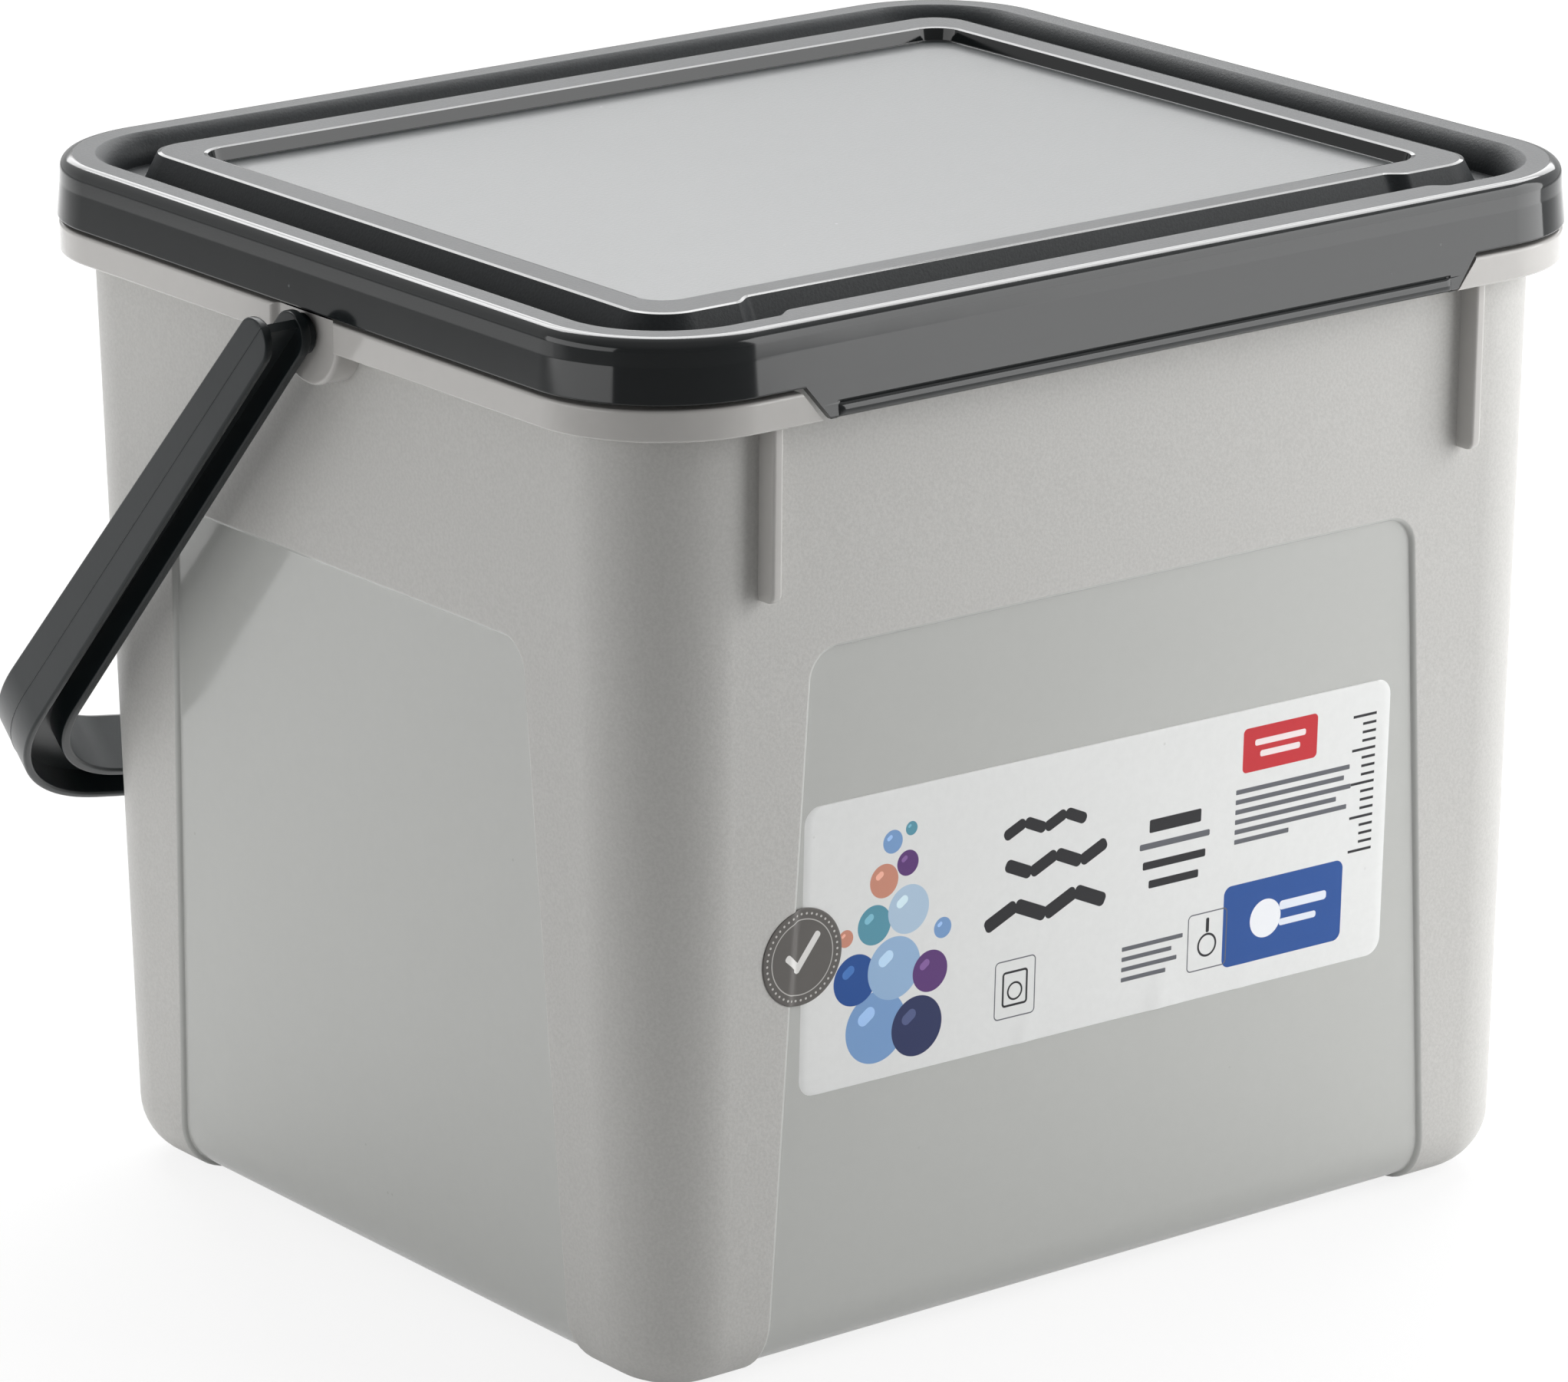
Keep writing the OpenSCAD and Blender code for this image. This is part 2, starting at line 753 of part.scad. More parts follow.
bucket();
lid();
handle();
label();
round_seal();
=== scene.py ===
"""Looks of the laundry powder container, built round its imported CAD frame.

Every piece is drawn in millimetres in the frame's own axes: +Z is up, the
front with the grip tab and the label faces -Y, and the handle hangs at +Y.
Wall, collar and lid share four corner centres. Each of them is a section that
is carried round those corners, so their gaps stay even all the way round.
"""

from __future__ import annotations

import logging
import math
from collections.abc import Callable, Iterable, Sequence
from dataclasses import dataclass, field
from enum import Enum, IntEnum

import bmesh
import bpy
from mathutils import Matrix, Vector

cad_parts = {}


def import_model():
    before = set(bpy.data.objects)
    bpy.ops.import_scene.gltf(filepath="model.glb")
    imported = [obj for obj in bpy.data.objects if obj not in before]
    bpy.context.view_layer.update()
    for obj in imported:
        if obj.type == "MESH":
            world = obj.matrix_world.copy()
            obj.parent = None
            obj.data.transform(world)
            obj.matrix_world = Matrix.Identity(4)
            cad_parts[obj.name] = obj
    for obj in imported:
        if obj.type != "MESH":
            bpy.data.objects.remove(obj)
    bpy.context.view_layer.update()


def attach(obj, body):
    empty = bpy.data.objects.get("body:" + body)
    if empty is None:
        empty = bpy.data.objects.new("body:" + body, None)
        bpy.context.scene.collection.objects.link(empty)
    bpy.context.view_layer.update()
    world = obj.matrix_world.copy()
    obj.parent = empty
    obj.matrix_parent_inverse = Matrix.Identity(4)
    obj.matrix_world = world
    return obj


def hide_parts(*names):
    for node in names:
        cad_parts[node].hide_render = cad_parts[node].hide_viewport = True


LOG = logging.getLogger("laundry_container")
MM = 0.001
WELD = 2e-7
SHARP_DEGREES = 34.0
CORNER_STEPS = 28
EDGE_STEPS = 4
PRINT_PLANE = "print_plane"

Flat = tuple[float, float]
Shade = tuple[int, int, int]


# Sections and meshes


@dataclass(frozen=True)
class Knot:
    """A corner of a section.

    out is the distance out from the corner rectangle and up the height. radius
    softens the corner, and skin is the finish of the run that follows it.
    """

    out: float
    up: float
    radius: float = 0.0
    skin: int = 0


def trace(knots: Sequence[Knot], closed: bool = False, steps: int = EDGE_STEPS) -> list[Knot]:
    """Draws a section with each of its corners rounded.

    Args:
        knots: The corners, in order.
        closed: Whether the last corner joins the first one.
        steps: Runs in each rounded corner.

    Returns:
        The points of the rounded section, each with the finish after it.
    """
    drawn: list[Knot] = []
    count = len(knots)
    for index, knot in enumerate(knots):
        at_end = not closed and index in (0, count - 1)
        if knot.radius <= 0 or at_end:
            drawn.append(knot)
            continue
        here = Vector((knot.out, knot.up))
        last, following = knots[index - 1], knots[(index + 1) % count]
        back = Vector((last.out, last.up)) - here
        ahead = Vector((following.out, following.up)) - here
        half = back.angle(ahead) / 2
        cut = min(knot.radius / math.tan(half), 0.49 * back.length, 0.49 * ahead.length)
        back.normalize()
        ahead.normalize()
        centre = here + (back + ahead).normalized() * (cut / math.cos(half))
        first, final = here + back * cut - centre, here + ahead * cut - centre
        turn = first.angle(final)
        for step in range(steps + 1):
            part = step / steps
            spoke = (
                first * math.sin((1 - part) * turn) + final * math.sin(part * turn)
            ) / math.sin(turn)
            point = centre + spoke
            drawn.append(Knot(point.x, point.y, 0.0, last.skin if part < 0.5 else knot.skin))
    return drawn


@dataclass(frozen=True)
class Stop:
    """A stop on the way round the container, in a corner or along a side.

    angle is the direction out in degrees from +X, quarter the signs of the
    corner, and along the place on a side, or None in a corner.
    """

    angle: float
    quarter: tuple[int, int]
    along: float | None = None

    def at(self, half: Flat, out: float, up: float) -> Vector:
        """Point at a distance out from a rectangle with the given half sizes."""
        turn = math.radians(self.angle)
        foot = [self.quarter[0] * half[0], self.quarter[1] * half[1]]
        if self.along is not None:
            foot[0 if self.angle % 180 else 1] = self.along
        return Vector((foot[0] + out * math.cos(turn), foot[1] + out * math.sin(turn), up))


def corner_stops(quarter: tuple[int, int], first: float, steps: int = CORNER_STEPS) -> list[Stop]:
    """Stops round one corner, over a right angle from the first direction."""
    return [Stop(first + 90 * step / steps, quarter) for step in range(steps + 1)]


def way_round(
    front: Iterable[float] = (), side: Iterable[float] = (), steps: int = CORNER_STEPS
) -> list[Stop]:
    """Stops all the way round, counter-clockwise from the front's left end.

    Args:
        front: Extra places along the front.
        side: Extra places along the left and right sides.
        steps: Runs in each corner.

    Returns:
        The stops. The last one joins the first.
    """
    places = sorted(side)
    return [
        *(Stop(-90, (1, -1), x) for x in sorted(front)),
        *corner_stops((1, -1), -90, steps),
        *(Stop(0, (1, 1), y) for y in places),
        *corner_stops((1, 1), 0, steps),
        *corner_stops((-1, 1), 90, steps),
        *(Stop(180, (-1, 1), y) for y in reversed(places)),
        *corner_stops((-1, -1), 180, steps),
    ]


def swept(stops: Iterable[Stop], half: Flat, section: Sequence[Knot]) -> list[list[Vector]]:
    """Rows of points of one section at each of the stops."""
    return [[stop.at(half, knot.out, knot.up) for knot in section] for stop in stops]


def smooth_step(value: float) -> float:
    """Smooth ramp from 0 to 1 over the range 0 to 1."""
    held = min(max(value, 0.0), 1.0)
    return held * held * (3 - 2 * held)


def linked(name: str, data: bpy.types.ID) -> bpy.types.Object:
    """Makes an object from its data and links it to the scene."""
    made = bpy.data.objects.new(name, data)
    bpy.context.scene.collection.objects.link(made)
    return made


@dataclass
class Moulding:
    """A mesh under construction, in millimetres, with a finish for each face."""

    points: list[Vector] = field(default_factory=list)
    faces: list[tuple[int, ...]] = field(default_factory=list)
    skins: list[int] = field(default_factory=list)

    def add(self, point: Vector) -> int:
        """Adds a point and returns its number."""
        self.points.append(point)
        return len(self.points) - 1

    def cap(self, loop: Sequence[int], skin: int) -> None:
        """Closes a loop of points with one face."""
        self.faces.append(tuple(loop))
        self.skins.append(skin)

    def bar(self, rows: Sequence[Sequence[Vector]], skin: int) -> None:
        """Lays an open sheet and closes both of its ends."""
        numbers = self.sheet(rows, skin)
        self.cap(numbers[0][::-1], skin)
        self.cap(numbers[-1], skin)

    def sheet(
        self,
        rows: Sequence[Sequence[Vector]],
        skins: Sequence[int] | int = 0,
        closed_way: bool = False,
        closed_section: bool = False,
        flip: bool = False,
    ) -> list[list[int]]:
        """Lays a sheet of faces over rows of points.

        Args:
            rows: Rows with the same number of points.
            skins: Finish of each column of faces, or one for all.
            closed_way: Whether the last row joins the first one.
            closed_section: Whether each row's end joins its beginning.
            flip: Turns the faces over.

        Returns:
            The numbers of the points, row by row.
        """
        numbers = [[self.add(point) for point in row] for row in rows]
        columns = len(rows[0])
        finish = [skins] * columns if isinstance(skins, int) else list(skins)
        for index in range(len(rows) if closed_way else len(rows) - 1):
            here, there = numbers[index], numbers[(index + 1) % len(rows)]
            for column in range(columns if closed_section else columns - 1):
                onward = (column + 1) % columns
                face = (here[column], there[column], there[onward], here[onward])
                self.cap(face[::-1] if flip else face, finish[column])
        return numbers

    def piece(
        self, name: str, materials: Sequence[bpy.types.Material], turn_out: bool = False
    ) -> bpy.types.Object:
        """Makes the Blender object.

        Args:
            name: Name of the piece.
            materials: Materials in the order of the finish numbers.
            turn_out: Whether faces are turned outwards all over.

        Returns:
            The object, linked to the scene.
        """
        mesh = bpy.data.meshes.new(name)
        mesh.from_pydata([point * MM for point in self.points], [], self.faces)
        for polygon, skin in zip(mesh.polygons, self.skins):
            polygon.material_index = skin
            polygon.use_smooth = True
        tidy = bmesh.new()
        tidy.from_mesh(mesh)
        bmesh.ops.remove_doubles(tidy, verts=tidy.verts, dist=WELD)
        bmesh.ops.dissolve_degenerate(tidy, dist=WELD, edges=tidy.edges)
        if turn_out:
            bmesh.ops.recalc_face_normals(tidy, faces=tidy.faces)
        tidy.to_mesh(mesh)
        tidy.free()
        mesh.validate()
        mesh.set_sharp_from_angle(angle=math.radians(SHARP_DEGREES))
        made = linked(name, mesh)
        for material in materials:
            mesh.materials.append(material)
        even = made.modifiers.new("even_shading", "WEIGHTED_NORMAL")
        even.keep_sharp = True
        even.weight = 60
        return made


def turned(quarter_turns: int, point: Vector) -> Vector:
    """Turns a point about the upright axis by quarter turns."""
    x, y = point.x, point.y
    for _ in range(quarter_turns % 4):
        x, y = -y, x
    return Vector((x, y, point.z))


def rod(
    mesh: Moulding, start: float, end: float, radius: float, bevel: float, sides: int = 40
) -> None:
    """Adds a rod along X, with its far end bevelled."""
    sign = 1 if end > start else -1
    rings = [(start, radius), (end - sign * bevel, radius), (end, radius - bevel)]
    rows = [
        [
            Vector((x, r * math.cos(turn), r * math.sin(turn)))
            for turn in (math.tau * side / sides for side in range(sides))
        ]
        for x, r in rings
    ]
    numbers = mesh.sheet(rows, closed_section=True)
    mesh.cap(numbers[-1], 0)
    mesh.cap(numbers[0][::-1], 0)


# The bucket


class BucketSkin(IntEnum):
    """Finishes of the bucket."""

    WALL = 0
    PANEL = 1
    COLLAR = 2
    INSIDE = 3


@dataclass(frozen=True)
class Shell:
    """The drafted wall that the bucket, the collar and the lid refer to."""

    half: Flat = (79.2, 65.7)
    corner: float = 14.9
    draft: float = 1.32
    base_radius: float = 11.0
    height: float = 175.4

    @property
    def slope(self) -> float:
        """Outward run of the wall for each millimetre of height."""
        return math.tan(math.radians(self.draft))

    def out_at(self, up: float, inset: float = 0.0) -> float:
        """Distance out of a surface that lies inset under the outer wall."""
        return self.corner + self.slope * up - inset * math.hypot(1, self.slope)

    def surface(self, up: float, inset: float = 0.0) -> Flat:
        """Point of the section under the outer surface at a nominal height."""
        radius, draft = self.base_radius, math.radians(self.draft)
        if up < radius * (1 - math.sin(draft)) - 1e-6:
            turn = math.asin(max(up / radius - 1, -1.0))
            reach = radius - inset
            centre = self.out_at(radius, radius)
            return centre + reach * math.cos(turn), radius + reach * math.sin(turn)
        return self.out_at(up, inset), up

    def base_heights(self, steps: int = 12) -> list[float]:
        """Nominal heights of the rows that carry the rounded bottom edge."""
        draft = math.radians(self.draft)
        turns = [-math.pi / 2 + (math.pi / 2 - draft) * step / steps for step in range(steps + 1)]
        return [self.base_radius * (1 + math.sin(turn)) for turn in turns]


@dataclass(frozen=True)
class Panel:
    """Outline of a recessed panel: its sides lean in and its upper corners are round."""

    width: float
    top_width: float
    top: float = 123.8
    radius: float = 5.2

    @property
    def lean(self) -> float:
        """Cosine of the lean of the sides."""
        return math.cos(math.atan((self.width - self.top_width) / 2 / self.top))

    @property
    def centre(self) -> Flat:
        """Centre of the upper corner."""
        up = self.top - self.radius
        return self.half_at(up) - self.radius / self.lean, up

    def half_at(self, up: float) -> float:
        """Half the width at a height."""
        return (self.width - (self.width - self.top_width) * up / self.top) / 2


@dataclass
class Bucket:
    """The moulded tub: walls, recessed panels, collar, rim bead, fins and lugs."""

    shell: Shell
    wall: float = 1.4
    floor: float = 2.2
    panel_depth: float = 0.8
    panel_edge: Flat = (0.95, 0.2)
    panel_steep: float = 70.0
    panel_turns: int = 14
    polish_from: float = 0.03
    wall_rows: Sequence[float] = (30.0, 60.0, 90.0)
    front_panel: Panel = Panel(142.0, 126.8)
    side_panel: Panel = Panel(114.2, 100.8)
    collar_top: float = 168.8
    collar_low: float = 163.6
    collar_out: float = 5.9
    collar_wall: float = 1.3
    bead_out: float = 1.1
    bead_height: float = 2.8
    fin_half: float = 1.0
    fin_out: float = 3.9
    fin_low: float = 134.4
    fin_x: float = 73.7
    tab_gap: float = 1.3
    lug_radius: float = 8.8
    lug_inset: float = 1.1
    notch_half: float = 7.5
    notch_run: float = 1.7
    pivot_up: float = 165.3
    hole_radius: float = 2.65
    hole_depth: float = 4.2
    foot_half: Flat = (54.2, 40.7)
    foot_radii: Flat = (11.0, 17.0)
    foot_depth: float = 0.8

    @property
    def collar_face(self) -> float:
        """Distance out of the collar's face."""
        return self.shell.out_at(self.collar_low) + self.collar_out

    @property
    def lug_face(self) -> float:
        """Distance out of the lug's face."""
        return self.collar_face - self.lug_inset

    def levels(self, panel: Panel) -> tuple[list[float], list[float]]:
        """Heights of the wall's rows, and the angles of the panel's corner."""
        steps = self.panel_turns
        straight = [*self.shell.base_heights(), *self.wall_rows, panel.centre[1]]
        return straight, [math.pi / 2 * step / steps for step in range(1, steps + 1)]

    def wall_heights(self, grow: float, top: float) -> list[float]:
        """Heights of the rows of a corner, in line with those of the sides."""
        panel = self.front_panel
        straight, angles = self.levels(panel)
        reach = panel.radius + grow
        return [*straight, *(panel.centre[1] + reach * math.sin(turn) for turn in angles), top]

    def add_side(
        self, mesh: Moulding, turns: int, edge: Sequence[Knot], top: float, inside: bool
    ) -> None:
        """Adds one side of the wall with its recessed panel.

        Args:
            mesh: The mesh to add to.
            turns: Quarter turns from the front.
            edge: Section over the panel's edge: growth of the outline, depth.
            top: Height of the side's upper edge.
            inside: Whether this is the inner surface.
        """
        shell = self.shell
        along, across = shell.half if turns % 2 == 0 else shell.half[::-1]
        panel = self.front_panel if turns % 2 == 0 else self.side_panel
        plain, sunk = (
            (BucketSkin.INSIDE, BucketSkin.INSIDE)
            if inside
            else (BucketSkin.WALL, BucketSkin.PANEL)
        )
        low = self.floor if inside else 0.0
        base = edge[0].up
        straight, angles = self.levels(panel)
        centre_x, centre_up = panel.centre

        def place(x: float, section: Flat) -> Vector:
            """Point of this side."""
            return turned(turns, Vector((x, -(across + section[0]), max(section[1], low))))

        def both(row: list[tuple[float, Flat]]) -> list[Vector]:
            """A row from its left half."""
            return [place(x, p) for x, p in row] + [place(-x, p) for x, p in reversed(row)]

        rows: list[list[Vector]] = []
        for height in straight:
            row = [(-along, shell.surface(height, base))]
            for knot in edge:
                section = shell.surface(height, knot.up)
                row.append((-(panel.half_at(section[1]) + knot.out / panel.lean), section))
            if not rows and not inside:
                rows.append(both([(x, (p[0], 0.0)) for x, p in row]))
            rows.append(both(row))
        for turn in angles:
            row = []
            for knot in edge:
                reach = panel.radius + knot.out
                section = shell.surface(centre_up + reach * math.sin(turn), knot.up)
                row.append((-(centre_x + reach * math.cos(turn)), section))
            row.insert(0, (-along, shell.surface(row[0][1][1], base)))
            rows.append(both(row))
        shallow = base + self.polish_from
        lips = [plain] * 2 + [sunk if knot.up > shallow else plain for knot in edge[1:]]
        # rows run upwards here, so the sheet is turned over to face outwards
        mesh.sheet(rows, [*lips, *reversed(lips[:-1]), plain, plain], flip=not inside)
        last = [shell.surface(centre_up + panel.radius + knot.out, knot.up) for knot in edge]
        mesh.sheet(
            [[place(x, section) for section in last] for x in (-centre_x, centre_x)],
            lips[1:],
            flip=not inside,
        )
        upper = []
        for height in (last[0][1], top):
            section = shell.surface(height, base)
            upper.append([place(x, section) for x in (-along, -centre_x, centre_x, along)])
        mesh.sheet(upper, plain, flip=not inside)

    def add_walls(self, mesh: Moulding) -> None:
        """Adds the outer and the inner surface of the wall and the floor."""
        for inside, base, grow, top in (
            (False, 0.0, 0.0, self.shell.height - self.bead_height),
            (True, self.wall, self.wall, self.shell.height),
        ):
            edge = self.panel_step(grow, base)
            for turns in range(4):
                self.add_side(mesh, turns, edge, top, inside)
            skin = BucketSkin.INSIDE if inside else BucketSkin.WALL
            low = self.floor if inside else 0.0
            heights = self.wall_heights(edge[0].out, top)
            surfaces = [self.shell.surface(height, base) for height in heights]
            section = [Knot(out, max(up, low)) for out, up in surfaces]
            for quarter, first in (((1, -1), -90), ((1, 1), 0), ((-1, 1), 90), ((-1, -1), 180)):
                rows = swept(corner_stops(quarter, first), self.shell.half, section)
                mesh.sheet(rows, skin, flip=inside)
        way = way_round(steps=12)
        out = self.shell.surface(0.0)[0]
        small, large = self.foot_radii
        deep = self.foot_depth
        groove = [Knot(small, 0.0), Knot(small, deep), Knot(large, deep), Knot(large, 0.0)]
        foot = [
            [*row, stop.at(self.shell.half, out, 0.0)]
            for row, stop in zip(swept(way, self.foot_half, groove), way)
        ]
        numbers = mesh.sheet(foot, BucketSkin.WALL, closed_way=True)
        mesh.cap([row[0] for row in reversed(numbers)], BucketSkin.WALL)
        loop = [mesh.add(stop.at(self.shell.half, out, self.floor)) for stop in way]
        mesh.cap(loop, BucketSkin.INSIDE)

    def panel_step(self, grow: float, base: float) -> list[Knot]:
        """Section over a panel's edge, well rounded outside and tight at its foot.

        Args:
            grow: Growth of the outline at the middle of the step.
            base: Depth of the surface round the panel.

        Returns:
            Growth of the outline and depth of each point, from outside inwards.
        """
        large, small = self.panel_edge
        turns = [math.radians(self.panel_steep) * step / 9 for step in range(10)]
        low = base + self.panel_depth

        def bend(radius: float, start: float, level: float, turns: Iterable[float]) -> list[Knot]:
            """Rounding that leaves a level, the other way round for a negative radius."""
            return [
                Knot(start - radius * math.sin(turn), level + radius * (1 - math.cos(turn)))
                for turn in turns
            ]

        return [
            Knot(grow + 1.6, base),
            *bend(large, grow + 0.8, base, turns),
            *bend(-small, grow - 0.3, low, reversed(turns)),
            Knot(grow - 1.2, low),
        ]

    def add_rim(self, mesh: Moulding) -> None:
        """Adds the bead round the rim."""
        top, low = self.shell.height, self.shell.height - self.bead_height
        wall = self.shell.out_at(top)
        face = wall + self.bead_out
        section = trace(
            [
                Knot(self.shell.out_at(low), low),
                Knot(wall, low, 0.3),
                Knot(face, low + self.bead_out, 0.4),
                Knot(face, top, 0.6),
                Knot(self.shell.out_at(top, self.wall), top, 0.25),
                Knot(self.shell.out_at(top - 1, self.wall), top - 1),
            ]
        )
        rows = swept(way_round(), self.shell.half, section)
        mesh.sheet(rows, BucketSkin.COLLAR, closed_way=True)

    def add_collar(self, mesh: Moulding, tab_half: Callable[[float], float]) -> None:
        """Adds the collar, open at the grip tab and stepped back at the lugs."""
        top, low, thick = self.collar_top, self.collar_low, self.collar_wall
        face = self.collar_face
        root = self.shell.out_at(top, self.wall / 2)
        section = trace(
            [
                Knot(root, top - thick),
                Knot(face - thick, top - thick, 0.3),
                Knot(face - thick, low, 0.3),
                Knot(face, low, 0.5),
                Knot(face, top, 0.55),
                Knot(root, top),
            ],
            steps=5,
        )
        near, run = self.notch_half, self.notch_run
        notch = [near - 0.2 + (run + 0.4) * step / 6 for step in range(7)]
        side = [sign * place for place in notch for sign in (-1, 1)]
        stops = way_round(side=side)
        rows = [self.collar_end(section, tab_half, 1)]
        for stop in stops:
            limit = face
            if stop.along is not None:
                limit = self.lug_face - 0.02 + (self.lug_inset + 0.02) * smooth_step(
                    (abs(stop.along) - near) / run
                )
            rows.append(
                [stop.at(self.shell.half, min(k.out, limit), k.up) for k in section]
            )
        rows.append(self.collar_end(section, tab_half, -1))
        mesh.bar(rows, BucketSkin.COLLAR)

    def collar_end(
        self, section: Sequence[Knot], tab_half: Callable[[float], float], sign: int
    ) -> list[Vector]:
        """The collar's slanted end beside the grip tab, on the side of the sign."""
        return [
            Vector((sign * (tab_half(k.up) + self.tab_gap), -(self.shell.half[1] + k.out), k.up))
            for k in section
        ]

    def add_fin(self, mesh: Moulding, sign_x: int, sign_y: int) -> None:
        """Adds one upright fin under the collar."""
        top = self.collar_top - self.collar_wall / 2
        half, low = self.fin_half, self.fin_low
        heights = [(low, 1.2), (low + 0.25, 0.6), (low + 0.9, 0.12), (low + 1.6, 0.0), (top, 0.0)]
        rows = []
        for up, cut in heights:
            root = self.shell.out_at(up, self.wall / 2)
            reach = self.shell.out_at(up) + self.fin_out - cut
            side = half - cut * 0.25
            plan = trace(
                [
                    Knot(-side, root),
                    Knot(-side, reach, 0.55),
                    Knot(side, reach, 0.55),
                    Knot(side, root),
                ]
            )
            rows.append(
                [
                    Vector((sign_x * self.fin_x + k.out, sign_y * (self.shell.half[1] + k.up), up))
                    for k in plan
                ]
            )
        numbers = mesh.sheet(rows, BucketSkin.COLLAR, flip=sign_y > 0)
        mesh.cap(numbers[0] if sign_y > 0 else numbers[0][::-1], BucketSkin.COLLAR)

    def add_lug(self, mesh: Moulding, sign: int) -> None:
        """Adds the round lug with its pin hole on one side."""
        flat = self.collar_top - self.pivot_up
        notch_turn = math.asin(flat / self.lug_radius)
        turns = sorted(
            {math.tau * step / 64 for step in range(64)} | {notch_turn, math.pi - notch_turn}
        )
        root = self.shell.out_at(self.pivot_up, self.wall / 2)
        rings = [
            (root, 0.0),
            (self.lug_face - 0.9, 0.0),
            (self.lug_face - 0.55, 0.07),
            (self.lug_face - 0.2, 0.26),
            (self.lug_face - 0.05, 0.5),
            (self.lug_face, 0.85),
        ]
        rows = []
        for out, cut in rings:
            row = []
            for turn in turns:
                radius = self.lug_radius - cut
                if math.sin(turn) > 0:
                    radius = min(radius, flat / math.sin(turn))
                row.append((out, radius * math.cos(turn), radius * math.sin(turn)))
            rows.append(row)
        hole = self.hole_radius
        for out, radius in (
            (self.lug_face, hole + 0.25),
            (self.lug_face - 0.25, hole),
            (self.lug_face - self.hole_depth, hole),
        ):
            rows.append([(out, radius * math.cos(t), radius * math.sin(t)) for t in turns])
        placed = [
            [
                Vector((sign * (self.shell.half[0] + out), sign * y, self.pivot_up + z))
                for out, y, z in row
            ]
            for row in rows
        ]
        numbers = mesh.sheet(placed, BucketSkin.COLLAR, closed_section=True)
        mesh.cap(numbers[-1], BucketSkin.COLLAR)

    def make(
        self, materials: Sequence[bpy.types.Material], tab_half: Callable[[float], float]
    ) -> bpy.types.Object:
        """Builds the bucket.

        Args:
            materials: Materials in the order of BucketSkin.
            tab_half: Half the width of the grip tab at a height.

        Returns:
            The bucket's object.
        """
        mesh = Moulding()
        self.add_walls(mesh)
        self.add_rim(mesh)
        self.add_collar(mesh, tab_half)
        for sign in (-1, 1):
            self.add_lug(mesh, sign)
            for sign_y in (-1, 1):
                self.add_fin(mesh, sign, sign_y)
        return mesh.piece("bucket_shell", materials)


# The lid


class LidSkin(IntEnum):
    """Finishes of the lid."""

    GLOSS = 0
    SATIN = 1
    PANEL = 2


